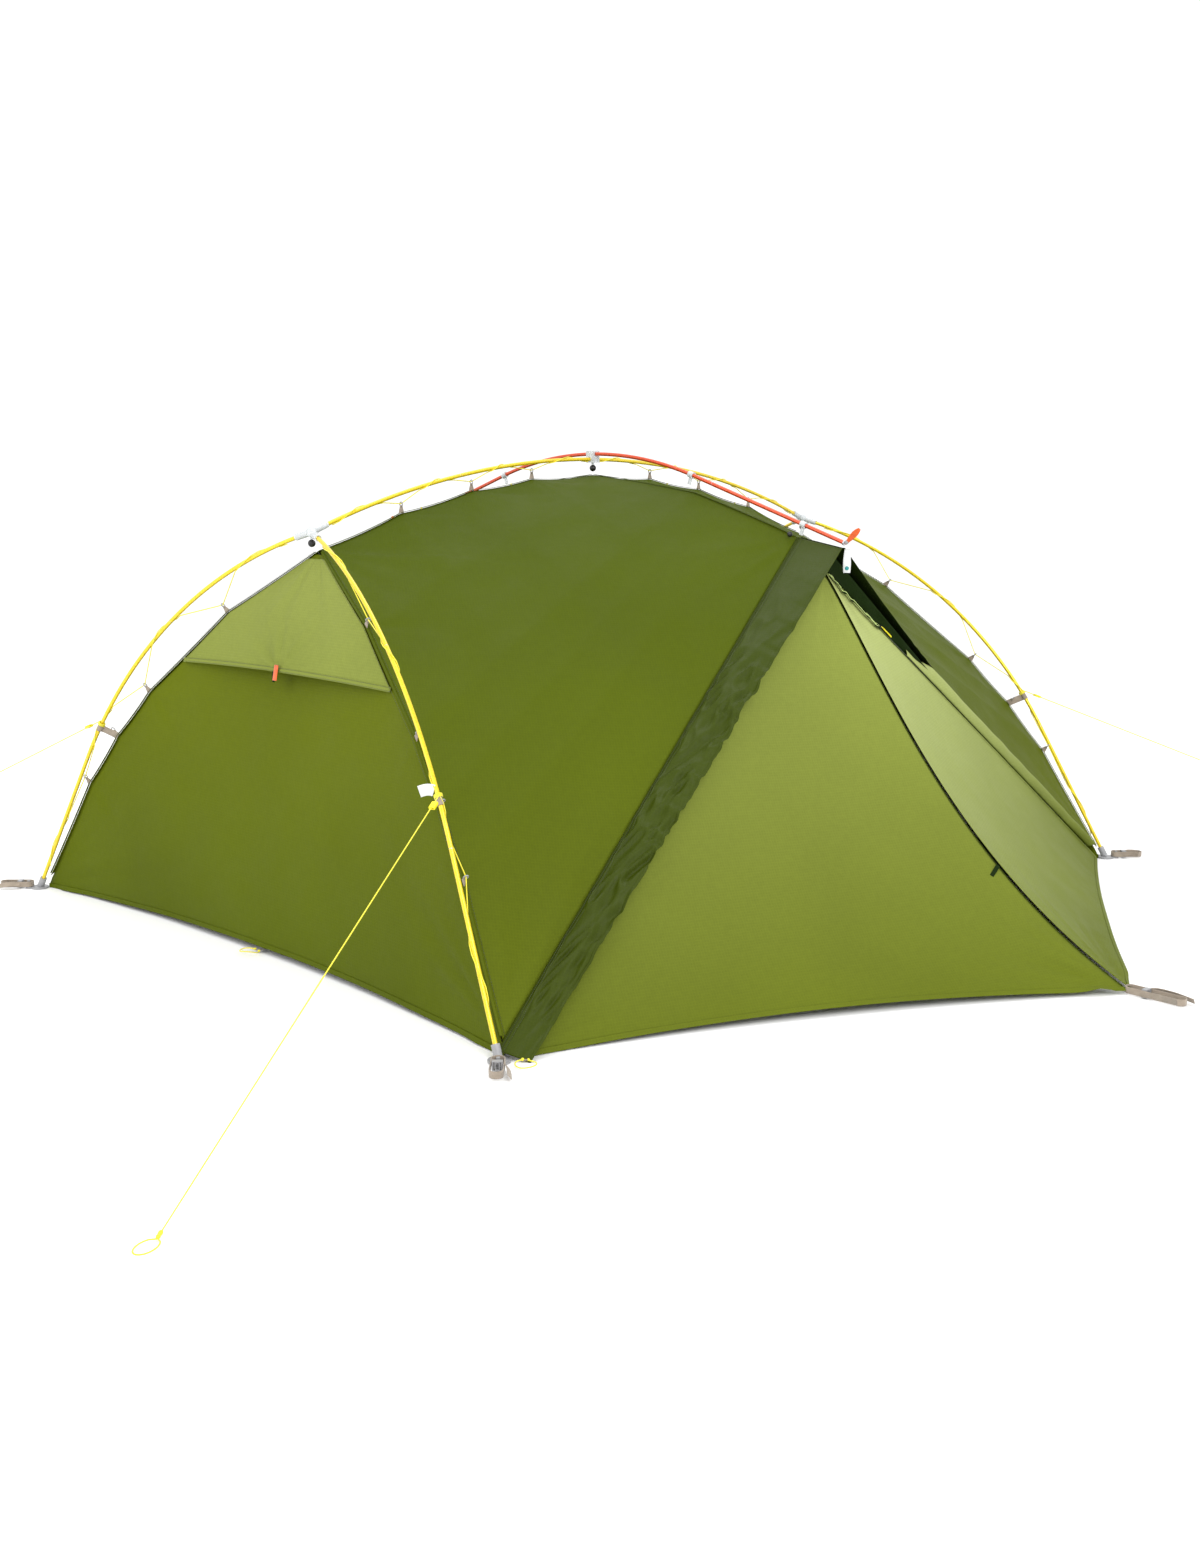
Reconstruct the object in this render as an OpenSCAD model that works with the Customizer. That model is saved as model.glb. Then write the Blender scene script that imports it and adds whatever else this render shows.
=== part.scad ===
// Hub-pole tent: an outer pole frame carries a hung flysheet with two vestibules,
// and an inner tent hangs inside it. Millimetres, +Z up, ground at z = 0.
// +X runs along the entrance side, -Y is the front entrance.

/* [Pole frame] */
// Distance between the feet along the entrance side
foot_span_x = 2400; // [2200:20:2600]
// Distance between the feet across an end
foot_span_y = 1900; // [1700:20:2100]
// Distance between the two hubs
hub_span = 1860; // [1700:20:2000]
// Height of the hub centres
hub_z = 982; // [900:1:1060]
// Outside diameter of the poles
pole_d = 10; // [8.5:0.5:12]
// Wall thickness of the poles
pole_wall = 0.9; // [0.6:0.1:1.5]
// Bend radius of the legs
leg_bend_r = 1260; // [1100:10:1500]
// Height that the ridge pole rises above the hubs
ridge_rise = 175; // [120:1:220]
// Bend radius of the cross pole
cross_bend_r = 1190; // [1000:10:1500]
// Half the length that the cross pole spans
cross_reach = 852; // [800:1:900]
// Height of the cross pole's ends
cross_end_z = 954; // [900:1:1000]

/* [Flysheet] */
// Cloth thickness as built
cloth = 2.4; // [1.5:0.1:4]
// Height of the fly under the crossing of the poles
fly_top_z = 1115; // [1080:1:1130]
// How far each leg seam bows out from its chord
leg_seam_bow = 115; // [60:1:150]
// Distance of the vestibule stake points from the middle
stake_y = 1600; // [1450:10:1700]
// Sideways shift of the vestibule stake points
stake_x = 50; // [0:5:100]
// How far the seam between a vestibule's two panels dips in from a straight line
seam_dip = 125; // [0:5:150]
// How far the hems arch up between their corners
hem_rise = 14; // [5:1:30]

/* [Inner tent] */
// Length of the inner floor
floor_l = 2190; // [2000:10:2250]
// Width of the inner floor
floor_w = 1730; // [1600:10:1800]
// Height of the floor's raised edge
floor_h = 130; // [100:5:160]

/* [Hardware] */
// Outside diameter of the hub sockets
socket_d = 16; // [14:0.5:20]
// Diameter of the ball connectors
ball_d = 18; // [14:1:24]
// Diameter of the guy lines and of the lacing
line_d = 2.5; // [2:0.5:4]
// Width of the webbing straps
strap_w = 15; // [10:1:25]

/* [Part selection] */

/* [Hidden] */
$fn = 48;
eps = 0.002;
foot_x = foot_span_x / 2;
foot_y = foot_span_y / 2;
hub_x = hub_span / 2;
pole_r = pole_d / 2;
pole_bore = pole_d - 2 * pole_wall;
pole_gap = 14;

yellow = [0.93, 0.83, 0.10];
orange = [0.90, 0.33, 0.09];
silver = [0.72, 0.72, 0.74];
clear_grey = [0.82, 0.84, 0.85];
black = [0.05, 0.05, 0.05];
tan_web = [0.58, 0.52, 0.46];
roof_green = [0.32, 0.38, 0.05];
end_green = [0.42, 0.49, 0.14];
door_green = [0.56, 0.61, 0.30];
dark_green = [0.10, 0.16, 0.03];
inner_grey = [0.70, 0.70, 0.66];
bright_yellow = [0.95, 0.92, 0.15];

// Plan direction and length of a leg, measured from its foot to its hub.
leg_run = sqrt(pow(foot_x - hub_x, 2) + foot_y * foot_y);
leg_chord = sqrt(leg_run * leg_run + hub_z * hub_z);
leg_rise = atan2(hub_z, leg_run);
leg_foot_turn = 16;
leg_hub_turn = 29.3;
leg_turn = leg_foot_turn + leg_hub_turn;
leg_side_a = leg_chord * sin(leg_hub_turn) / sin(leg_turn);
leg_side_b = leg_chord * sin(leg_foot_turn) / sin(leg_turn);
leg_tangent = leg_bend_r * tan(leg_turn / 2);
leg_low = leg_side_a - leg_tangent;
leg_arc = leg_bend_r * leg_turn * PI / 180;
leg_high = leg_side_b - leg_tangent;
leg_total = leg_low + leg_arc + leg_high;
leg_top = leg_low + leg_arc;
leg_start = [0, 0, leg_rise + leg_foot_turn];
leg_segs = [[leg_low, 0], [leg_arc, leg_bend_r], [leg_high, 0]];
leg_cuts = [leg_low, leg_low + leg_arc / 2];

ridge_turn = 2 * atan(ridge_rise / hub_x);
ridge_bend_r = hub_x / sin(ridge_turn);
ridge_total = ridge_bend_r * 2 * ridge_turn * PI / 180;
ridge_start = [-hub_x, hub_z, ridge_turn];
ridge_segs = [[ridge_total, ridge_bend_r]];
ridge_top = hub_z + ridge_rise;

cross_turn = 18.15;
cross_arc = cross_bend_r * 2 * cross_turn * PI / 180;
cross_end = (cross_reach - cross_bend_r * sin(cross_turn)) / cos(cross_turn);
cross_total = 2 * cross_end + cross_arc;
cross_start = [-cross_reach, cross_end_z, cross_turn];
cross_segs = [[cross_end, 0], [cross_arc, cross_bend_r], [cross_end, 0]];
cross_top = cross_end_z + cross_end * sin(cross_turn)
    + cross_bend_r * (1 - cos(cross_turn));

// Corners of the front half of the fly. The rear half is the front turned by 180 degrees.
fly_foot = [1178, 935, 28];
fly_hub = [908, 0, 940];
clip_point = [0, -710, 965];
peak = [0, -845, 942];
door_peak = [0, -790, 885];
stake = [stake_x, -stake_y, 15];
flap_foot = [-1122, -990, 40];
main_foot = [-1128, -946, 16];
zip_foot = [1146, -942, 24];
door_foot = [1138, -946, 16];
seam_gap = [5, 0, 0];
hood_end = 0.39;
end_hem_bow = 60;
front_hem_bow = 58;

// Tabs sit at these shares of a leg seam (from the foot) and of the ridge seam.
leg_tabs = [0.24, 0.50, 0.76];
guy_tab = 0.37;
ridge_tabs = [-0.73, -0.48, -0.25, 0.25, 0.48, 0.73];
ring_reach = 22;
clip_y = [-715, -360, 360, 715];

// Ground ends of the three guy lines.
guy_front_left_end = [-2050, -1150, 4];
guy_rear_left_end = [-1320, 1869, 4];
guy_front_right_end = [2215, -1313, 4];
guy_share = 0.379;
guy_off = 10;
adjuster_at = 0.035;

inner_hub = [820, 0, 850];
inner_top_z = 1030;
inner_corner = [floor_l / 2 - 3, floor_w / 2 - 3, floor_h + 4];
door_u = [0.34, 0.66];
door_v = [0.22, 0.97];

// ---------- small vector and curve functions ----------

function unit(v) = v / norm(v);
function mix(a, b, t) = a * (1 - t) + b * t;
function flip(p, sx, sy) = [sx * p[0], sy * p[1], p[2]];

// Upward normal of the chord a-b inside its own vertical plane.
function chord_up(a, b) =
    let (e = unit(b - a), up = [0, 0, 1])
    unit(up - e * (e * up));

// Point at share t of a curve from a to b that bows out by s in its middle.
function bow(a, b, s, t) = mix(a, b, t) + chord_up(a, b) * 4 * s * t * (1 - t);

// Position and heading after a length l of one pole segment [length, bend radius].
function advance(p, seg, l) =
    seg[1] == 0
        ? [p[0] + l * cos(p[2]), p[1] + l * sin(p[2]), p[2]]
        : let (t = l / seg[1] * 180 / PI)
          [
              p[0] + seg[1] * (sin(p[2]) - sin(p[2] - t)),
              p[1] - seg[1] * (cos(p[2]) - cos(p[2] - t)),
              p[2] - t
          ];

// Position and heading at length s along a whole pole.
function pole_at(p, segs, s, i = 0) =
    (i == len(segs) - 1 || s <= segs[i][0])
        ? advance(p, segs[i], s)
        : pole_at(advance(p, segs[i], segs[i][0]), segs, s - segs[i][0], i + 1);

// ---------- placing things ----------

// A leg's own plane: X from its foot to its hub, Y up, Z across.
module in_leg_plane(sx, sy) {
    translate([sx * foot_x, sy * foot_y, 0])
        rotate([0, 0, atan2(-sy * foot_y, -sx * (foot_x - hub_x))])
            rotate([90, 0, 0])
                children();
}

// The ridge pole's plane: X along the ridge, Y up.
module in_ridge_plane() {
    rotate([90, 0, 0])
        children();
}

// The cross pole's plane: X from the front (-Y) end to the rear end, Y up.
module in_cross_plane() {
    rotate([90, 0, 90])
        children();
}

// Frame with its X axis along x and its Z axis close to z, at point p.
module frame_at(p, x, z) {
    ux = unit(x);
    uy = unit(cross(z, ux));
    uz = cross(ux, uy);
    multmatrix([
        [ux[0], uy[0], uz[0], p[0]],
        [ux[1], uy[1], uz[1], p[1]],
        [ux[2], uy[2], uz[2], p[2]],
        [0, 0, 0, 1]
    ])
        children();
}

module front_and_rear() {
    children();
    rotate([0, 0, 180])
        children();
}

// Children stand at the pole's axis, with X along the pole.
module at_pole(start, segs, s) {
    p = pole_at(start, segs, s);
    translate([p[0], p[1], 0])
        rotate([0, 0, p[2]])
            children();
}

// ---------- tubes that follow a pole ----------

module ring_section(od, id) {
    difference() {
        circle(d = od);
        if (id > 0)
            circle(d = id);
    }
}

module straight_tube(p, l, od, id) {
    translate([p[0], p[1], 0])
        rotate([0, 0, p[2]])
            rotate([0, 90, 0])
                linear_extrude(height = l)
                    ring_section(od, id);
}

module bent_tube(p, l, r, od, id) {
    turn = l / r * 180 / PI;
    translate([p[0] + r * sin(p[2]), p[1] - r * cos(p[2]), 0])
        rotate([0, 0, p[2] + 90 - turn])
            rotate_extrude(angle = turn)
                translate([r, 0])
                    ring_section(od, id);
}

// The part of a pole's line from length a to length b, drawn as a tube.
module pole_run(p, segs, a, b, od, id, i = 0, s = 0) {
    l = segs[i][0];
    from = max(a, s) - s;
    to = min(b, s + l) - s;
    if (to - from > 0.01) {
        q = advance(p, segs[i], from);
        if (segs[i][1] == 0)
            straight_tube(q, to - from, od, id);
        else
            bent_tube(q, to - from, segs[i][1], od, id);
    }
    if (i < len(segs) - 1)
        pole_run(advance(p, segs[i], l), segs, a, b, od, id, i + 1, s + l);
}

module leg_part(sx, sy, a, b) {
    color(yellow)
        in_leg_plane(sx, sy)
            pole_run(leg_start, leg_segs, a, b, pole_d, pole_bore);
}

module leg_lower(sx, sy) {
    leg_part(sx, sy, 26, leg_cuts[0] - 0.6);
}

module leg_upper(sx, sy) {
    leg_part(sx, sy, leg_cuts[0] + 0.6, leg_cuts[1] - 0.6);
    leg_part(sx, sy, leg_cuts[1] + 0.6, leg_top);
}

module ridge_part(a, b) {
    color(yellow)
        in_ridge_plane()
            pole_run(ridge_start, ridge_segs, a, b, pole_d, pole_bore);
}

module ridge_pole_left() {
    ridge_part(pole_gap, ridge_total / 4 - 0.6);
    ridge_part(ridge_total / 4 + 0.6, ridge_total / 2 - 0.6);
}

module ridge_pole_right() {
    ridge_part(ridge_total / 2 + 0.6, ridge_total * 3 / 4 - 0.6);
    ridge_part(ridge_total * 3 / 4 + 0.6, ridge_total - pole_gap);
}

module cross_part(a, b) {
    color(orange)
        in_cross_plane()
            pole_run(cross_start, cross_segs, a, b, pole_d, pole_bore);
}

module cross_pole_front() {
    cross_part(4, cross_total / 4 - 0.6);
    cross_part(cross_total / 4 + 0.6, cross_total / 2 - 0.6);
}

module cross_pole_rear() {
    cross_part(cross_total / 2 + 0.6, cross_total * 3 / 4 - 0.6);
    cross_part(cross_total * 3 / 4 + 0.6, cross_total - 4);
}

// An insert that joins two sections, with a thin collar in the gap between them.
module ferrule(start, segs, s) {
    at_pole(start, segs, s)
        rotate([0, 90, 0])
            difference() {
                union() {
                    cylinder(d = pole_bore - 0.3, h = 30, center = true);
                    cylinder(d = pole_d - 0.2, h = 1, center = true);
                }
                cylinder(d = 5.6, h = 40, center = true);
            }
}

module pole_ferrules() {
    color(silver) {
        for (sx = [-1, 1], sy = [-1, 1], s = leg_cuts)
            in_leg_plane(sx, sy)
                ferrule(leg_start, leg_segs, s);
        for (k = [1, 2, 3]) {
            in_ridge_plane()
                ferrule(ridge_start, ridge_segs, ridge_total * k / 4);
            in_cross_plane()
                ferrule(cross_start, cross_segs, cross_total * k / 4);
        }
    }
}

// Elastic cord that runs through all the sections of one pole.
module shock_cord(start, segs, a, b) {
    swept([for (s = steps(18, a, b))
        let (p = pole_at(start, segs, s))
        [p[0], p[1], 0]], 3, [0, 0, 1]);
}

module shock_cords() {
    color(black) {
        for (sx = [-1, 1], sy = [-1, 1])
            in_leg_plane(sx, sy)
                shock_cord(leg_start, leg_segs, 56, leg_top - 2);
        in_ridge_plane()
            shock_cord(ridge_start, ridge_segs, pole_gap + 2, ridge_total - pole_gap - 2);
        in_cross_plane()
            shock_cord(cross_start, cross_segs, 13, cross_total - 13);
    }
}

// Leg tips plug into the tubes and stand in the corner sockets; caps close the cross pole.
module pole_tips() {
    color(silver) {
        for (sx = [-1, 1], sy = [-1, 1])
            in_leg_plane(sx, sy) {
                pole_run(leg_start, leg_segs, 9, 25.6, pole_d, 0);
                pole_run(leg_start, leg_segs, 25.6, 54, pole_bore - 0.2, 0);
            }
        in_cross_plane()
            for (k = [0, 1])
                cap_tip(k);
    }
}

module cap_tip(k) {
    a = k == 0 ? 4 : cross_total - 11.8;
    b = k == 0 ? 11.8 : cross_total - 4;
    pole_run(cross_start, cross_segs, a, b, pole_bore - 0.2, 0);
    c = k == 0 ? 0 : cross_total - 3.8;
    pole_run(cross_start, cross_segs, c, c + 3.8, pole_d + 3, 0);
}

// ---------- hubs, clips and ball connectors ----------

// One hub: a round core with three sockets and a stub for the ball below.
module hub(sx) {
    leg_dir = leg_rise - leg_hub_turn;
    color(clear_grey)
        difference() {
            union() {
                translate([sx * hub_x, 0, hub_z]) {
                    sphere(d = 25);
                    translate([0, 0, -16.8])
                        cylinder(d = 8, h = 12);
                    rotate([0, sx * -90, 0])
                        rotate([0, sx * ridge_turn, 0])
                            cylinder(d = socket_d, h = 48);
                    for (sy = [-1, 1])
                        rotate([0, 0, atan2(sy * foot_y, sx * (foot_x - hub_x))])
                            rotate([0, 90 + leg_dir, 0])
                                cylinder(d = socket_d, h = 48);
                }
            }
            translate([sx * hub_x, 0, hub_z]) {
                rotate([0, sx * -90, 0])
                    rotate([0, sx * ridge_turn, 0])
                        translate([0, 0, pole_gap - 1])
                            cylinder(d = pole_d + 0.6, h = 40);
                for (sy = [-1, 1])
                    rotate([0, 0, atan2(sy * foot_y, sx * (foot_x - hub_x))])
                        rotate([0, 90 + leg_dir, 0])
                            translate([0, 0, pole_gap - 1])
                                cylinder(d = pole_d + 0.8, h = 40);
            }
        }
}

module centre_clip() {
    color(clear_grey)
        difference() {
            union() {
                translate([-13, -13, ridge_top - 9])
                    cube([26, 26, cross_top - ridge_top + 18]);
                translate([0, 0, ridge_top - 14])
                    cylinder(d = 8, h = 6);
            }
            translate([-20, 0, ridge_top])
                rotate([0, 90, 0])
                    cylinder(d = pole_d + 0.6, h = 40);
            translate([0, -20, cross_top])
                rotate([-90, 0, 0])
                    cylinder(d = pole_d + 0.6, h = 40);
        }
}

// Snap clip on the cross pole with a short hanger down to the cloth.
module cross_clip(y) {
    s = cross_total / 2 + sign(y) * (abs(y) > 500 ? 752 : 366);
    in_cross_plane()
        at_pole(cross_start, cross_segs, s) {
            rotate([0, 90, 0])
                linear_extrude(height = 15, center = true)
                    ring_section(pole_d + 7, pole_d + 0.6);
            translate([-5, -26, -1.5])
                cube([10, 19, 3]);
        }
}

module cross_pole_clips() {
    color(clear_grey)
        for (y = clip_y)
            cross_clip(y);
}

module canopy_balls() {
    color(black) {
        for (sx = [-1, 1])
            translate([sx * hub_x, 0, hub_z - 26])
                sphere(d = ball_d);
        translate([0, 0, ridge_top - 23.5])
            sphere(d = ball_d);
    }
}

// ---------- corner anchors ----------

module at_corner(sx, sy) {
    translate([sx * foot_x, sy * foot_y, 0])
        rotate([0, 0, atan2(sy, sx)])
            children();
}

module corner_socket(sx, sy) {
    difference() {
        union() {
            at_corner(sx, sy) {
                cylinder(d = 46, h = 4);
                translate([0, -9, 0])
                    cube([36, 18, 4]);
                translate([30, 0, 0])
                    cylinder(d = 8, h = 20);
            }
            in_leg_plane(sx, sy)
                pole_run(leg_start, leg_segs, 7, 34, 18, 0);
        }
        in_leg_plane(sx, sy)
            pole_run(leg_start, leg_segs, 8.6, 40, pole_d + 0.8, 0);
    }
}

module corner_sockets() {
    color(silver)
        for (sx = [-1, 1], sy = [-1, 1])
            corner_socket(sx, sy);
}

// Webbing loop standing on its edge, between two rounded ends.
module strap_loop(l, w, t) {
    difference() {
        strap_outline(l, w / 2);
        strap_outline(l, w / 2 - t);
    }
}

module strap_outline(l, r) {
    circle(r = r);
    translate([l, 0])
        circle(r = r);
    translate([0, -r])
        square([l, 2 * r]);
}

module corner_straps() {
    color(tan_web)
        for (sx = [-1, 1], sy = [-1, 1])
            at_corner(sx, sy)
                translate([30, 0, 4.6])
                    linear_extrude(height = strap_w)
                        strap_loop(62, 14, 1.6);
}

// Buckle frame around both strands of a strap loop.
module ladder_lock(x, z) {
    difference() {
        translate([x, -10.5, z - 1.6])
            cube([12, 21, strap_w + 3.2]);
        for (sy = [-1, 1])
            translate([x - 1, sy * 6.2 - 1.4, z - 0.4])
                cube([14, 2.8, strap_w + 0.8]);
        translate([x - 1, -3, z + 1])
            cube([14, 6, strap_w - 2]);
    }
}

module at_stake() {
    translate([stake[0], stake[1] - 16, 0])
        rotate([0, 0, -92])
            children();
}

module ladder_locks() {
    color(silver) {
        for (sx = [-1, 1], sy = [-1, 1])
            at_corner(sx, sy)
                ladder_lock(46, 4.6);
        front_and_rear()
            at_stake()
                ladder_lock(28, 3);
    }
}

module stake_straps() {
    color(tan_web)
        front_and_rear()
            at_stake()
                translate([0, 0, 3])
                    linear_extrude(height = strap_w)
                        strap_loop(112, 14, 1.6);
}

// ---------- cloth panels ----------

function leg_seam(sx, sy, t) =
    bow(flip(fly_foot, sx, sy), flip(fly_hub, sx, sy), leg_seam_bow, t);

function ridge_seam(sx, t) =
    let (x = fly_hub[0] * (1 - t))
    [sx * x, 0, fly_hub[2] + (fly_top_z - fly_hub[2]) * (1 - pow(1 - t, 2))];

function cross_seam(sy, t) =
    bow([0, 0, fly_top_z], flip(clip_point, 1, -sy), 33, t);

function steps(n, a = 0, b = 1) = [for (i = [0 : n]) a + (b - a) * i / n];

// Thickness direction at one grid point of a cloth surface.
function grid_normal(g, i, j) =
    let (
        n = len(g) - 1,
        m = len(g[0]) - 1,
        du = g[min(i + 1, n)][j] - g[max(i - 1, 0)][j],
        dv = g[i][min(j + 1, m)] - g[i][max(j - 1, 0)]
    )
    unit(cross(du, dv));

function tri_quad(a, b, c, d) = [[a, b, c], [a, c, d]];

// A closed sheet of constant thickness on a grid of points.
module sheet(g, t) {
    n = len(g) - 1;
    m = len(g[0]) - 1;
    w = m + 1;
    k = (n + 1) * w;
    top = [for (i = [0 : n], j = [0 : m]) g[i][j] + grid_normal(g, i, j) * t / 2];
    low = [for (i = [0 : n], j = [0 : m]) g[i][j] - grid_normal(g, i, j) * t / 2];
    faces = concat(
        [for (i = [0 : n - 1], j = [0 : m - 1])
            each tri_quad(i * w + j, i * w + j + 1, (i + 1) * w + j + 1, (i + 1) * w + j)],
        [for (i = [0 : n - 1], j = [0 : m - 1])
            each tri_quad(k + i * w + j, k + (i + 1) * w + j,
                k + (i + 1) * w + j + 1, k + i * w + j + 1)],
        [for (i = [0 : n - 1])
            each tri_quad(i * w, (i + 1) * w, k + (i + 1) * w, k + i * w)],
        [for (i = [0 : n - 1])
            each tri_quad((i + 1) * w + m, i * w + m, k + i * w + m, k + (i + 1) * w + m)],
        [for (j = [0 : m - 1])
            each tri_quad(j + 1, j, k + j, k + j + 1)],
        [for (j = [0 : m - 1])
            each tri_quad(n * w + j, n * w + j + 1, k + n * w + j + 1, k + n * w + j)]
    );
    polyhedron(points = concat(top, low), faces = faces, convexity = 6);
}

// Roof quarter between the ridge, a leg seam, the cross pole's line and the door seam.
function roof_point(sx, sy, u, v) =
    let (
        hub_corner = flip(fly_hub, sx, sy),
        foot_corner = flip(fly_foot, sx, sy),
        clip_corner = flip(clip_point, 1, -sy),
        top_corner = [0, 0, fly_top_z]
    )
    mix(leg_seam(sx, sy, 1 - v), cross_seam(sy, v), u)
    + mix(ridge_seam(sx, u), mix(foot_corner, clip_corner, u), v)
    - mix(mix(hub_corner, top_corner, u), mix(foot_corner, clip_corner, u), v);

module roof(sx, sy) {
    color(roof_green)
        sheet([for (u = steps(10, 0.004, 0.997)) [for (v = steps(10, 0.003, 0.997))
            roof_point(sx, sy, u, v)]], cloth);
}

function end_point(sx, u, v) =
    mix(leg_seam(sx, 1, 1 - v), leg_seam(sx, -1, 1 - v), u)
    + [-3 * sx, 0, 4 * hem_rise * u * (1 - u) * pow(v, 6) - 3]
    - [sx * end_hem_bow * 4 * u * (1 - u) * v * v, 0, 0];

module end_wall(sx) {
    color(end_green)
        sheet([for (u = steps(10, 0.004, 0.996)) [for (v = steps(12, 0.02, 0.998))
            end_point(sx, u, v)]], cloth);
}

// The hood lies over the top of the end wall and stands open along its lower hem.
function hood_point(sx, u, v) =
    end_point(sx, u, v)
    + [sx * 0.8, 0, 0.6] * (5 + 90 * u * (1 - u) * pow(v / hood_end, 2));

module vent_hoods() {
    color(end_green)
        for (sx = [-1, 1])
            sheet([for (u = steps(8, 0.03, 0.97)) [for (v = steps(6, 0.04, hood_end))
                hood_point(sx, u, v)]], cloth);
}

// Triangle from a peak down to a hem between two ground points. The hem bows inward, and
// so does the seam that both panels share, by the share w.
function fan_point(top, a, b, u, v, w) =
    mix(top, mix(a, b, u), v)
    + [0, 0, 4 * hem_rise * u * (1 - u) * pow(v, 4)]
    + unit([a[1] - b[1], b[0] - a[0], 0]) * front_hem_bow * 4 * u * (1 - u) * pow(v, 3)
    + unit(cross([1, 0, 0], stake - door_peak)) * seam_dip * 4 * v * (1 - v) * w;

module vestibule_main() {
    color(door_green)
        sheet([for (u = steps(8, 0, 0.997)) [for (v = steps(10, 0.02, 0.998))
            fan_point(door_peak - seam_gap, main_foot, stake - seam_gap, u, v, u)]], cloth);
}

module vestibule_door() {
    color(door_green)
        sheet([for (u = steps(8)) [for (v = steps(10, 0.03, 0.998))
            fan_point(door_peak + seam_gap, stake + seam_gap, door_foot, u, v, 1 - u)]], cloth);
}

// Share of the full width that is left of a flap: the one beside the door tapers away.
function flap_share(sx, v) = sx < 0 ? 1 : 1 - 0.85 * min(1, v / 0.45);

// Flap from the door seam out to the free edge that hangs from the peak.
function flap_point(sx, u, v) =
    let (
        p = mix(
            mix(clip_point, flip(fly_foot, -1, -1), v),
            mix(peak, flap_foot, v),
            u * flap_share(sx, v)
        )
    )
    [sx * (-p[0] + 2.4), p[1], p[2]];

module storm_flaps() {
    color(roof_green)
        front_and_rear()
            for (sx = [-1, 1])
                sheet([for (u = steps(3, 0.03, 1)) [for (v = steps(10, 0.002, 0.985))
                    flap_point(sx, u, v)]], cloth);
}

// ---------- zip sliders and pulls ----------

zip_line = zip_foot - door_peak;
door_out = unit(cross(stake - door_peak, door_foot - door_peak));
zip_side = unit(cross(door_out, zip_line));
slider_home = mix(door_peak, zip_foot, 0.17);

// Dark strip that carries the fixed half of the door zip and stands up beside it.
function strip_point(u, v) =
    mix(door_peak, zip_foot, v)
    + mix(
        zip_side * 9.5 + door_out * 1.5,
        zip_side * (13 - 3 * v) + door_out * (41 - 38 * v),
        u
    );

module zip_strips() {
    color(dark_green)
        front_and_rear()
            sheet([for (u = steps(2)) [for (v = steps(10, 0, 0.96))
                strip_point(u, v)]], 1.6);
}

module at_slider() {
    frame_at(slider_home, zip_line, door_out)
        children();
}

module zip_slider() {
    color(black)
        at_slider() {
            translate([-7, -4.5, 3])
                cube([14, 9, 3]);
            difference() {
                translate([4, 0, 8])
                    rotate([90, 0, 0])
                        cylinder(d = 6, h = 4, center = true);
                translate([4, 0, 8])
                    rotate([90, 0, 0])
                        cylinder(d = 2.6, h = 6, center = true);
            }
        }
}

// Cord pull with its own eye; it turns on the slider's bail.
module zip_pull() {
    color(bright_yellow)
        at_slider() {
            translate([4, 0, 8])
                rotate([90, 0, 0])
                    cylinder(d = 2.2, h = 9, center = true);
            for (sy = [-1, 1])
                translate([4, sy * 3.4 - 0.9, 6.9])
                    cube([12, 1.8, 2.2]);
            translate([15, -4.3, 6.9])
                cube([28, 8.6, 2.2]);
        }
}

// ---------- webbing tabs, rings and lacing ----------

// Outward direction of the hanging tabs on a leg seam.
function leg_out(sx, sy) = chord_up(flip(fly_foot, sx, sy), flip(fly_hub, sx, sy));
function leg_along(sx, sy) = unit(flip(fly_hub, sx, sy) - flip(fly_foot, sx, sy));

function ridge_tab(k) =
    let (t = 1 - abs(k))
    ridge_seam(sign(k), t);

module tab(w, l) {
    translate([-w / 2, -0.8, 3])
        cube([w, 1.6, l - 3]);
}

// The ring stands across the seam, so the cord can run through it along the pole.
module tab_ring() {
    translate([0, 0, ring_reach])
        rotate([0, 90, 0])
            rotate_extrude()
                translate([5.2, 0])
                    circle(d = 2.6, $fn = 16);
}

module at_leg_tab(sx, sy, t) {
    frame_at(leg_seam(sx, sy, t), leg_along(sx, sy), leg_out(sx, sy))
        children();
}

module at_ridge_tab(k) {
    translate(ridge_tab(k))
        children();
}

module hang_tabs() {
    color(tan_web) {
        for (sx = [-1, 1], sy = [-1, 1]) {
            for (t = leg_tabs)
                at_leg_tab(sx, sy, t)
                    tab(strap_w, 15);
            at_leg_tab(sx, sy, guy_tab)
                tab(40, 15);
        }
        for (k = ridge_tabs)
            at_ridge_tab(k)
                tab(strap_w, 15);
    }
}

module tab_rings() {
    color(silver) {
        for (sx = [-1, 1], sy = [-1, 1], t = concat(leg_tabs, [guy_tab]))
            at_leg_tab(sx, sy, t)
                tab_ring();
        for (k = ridge_tabs)
            at_ridge_tab(k)
                tab_ring();
    }
}

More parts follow.
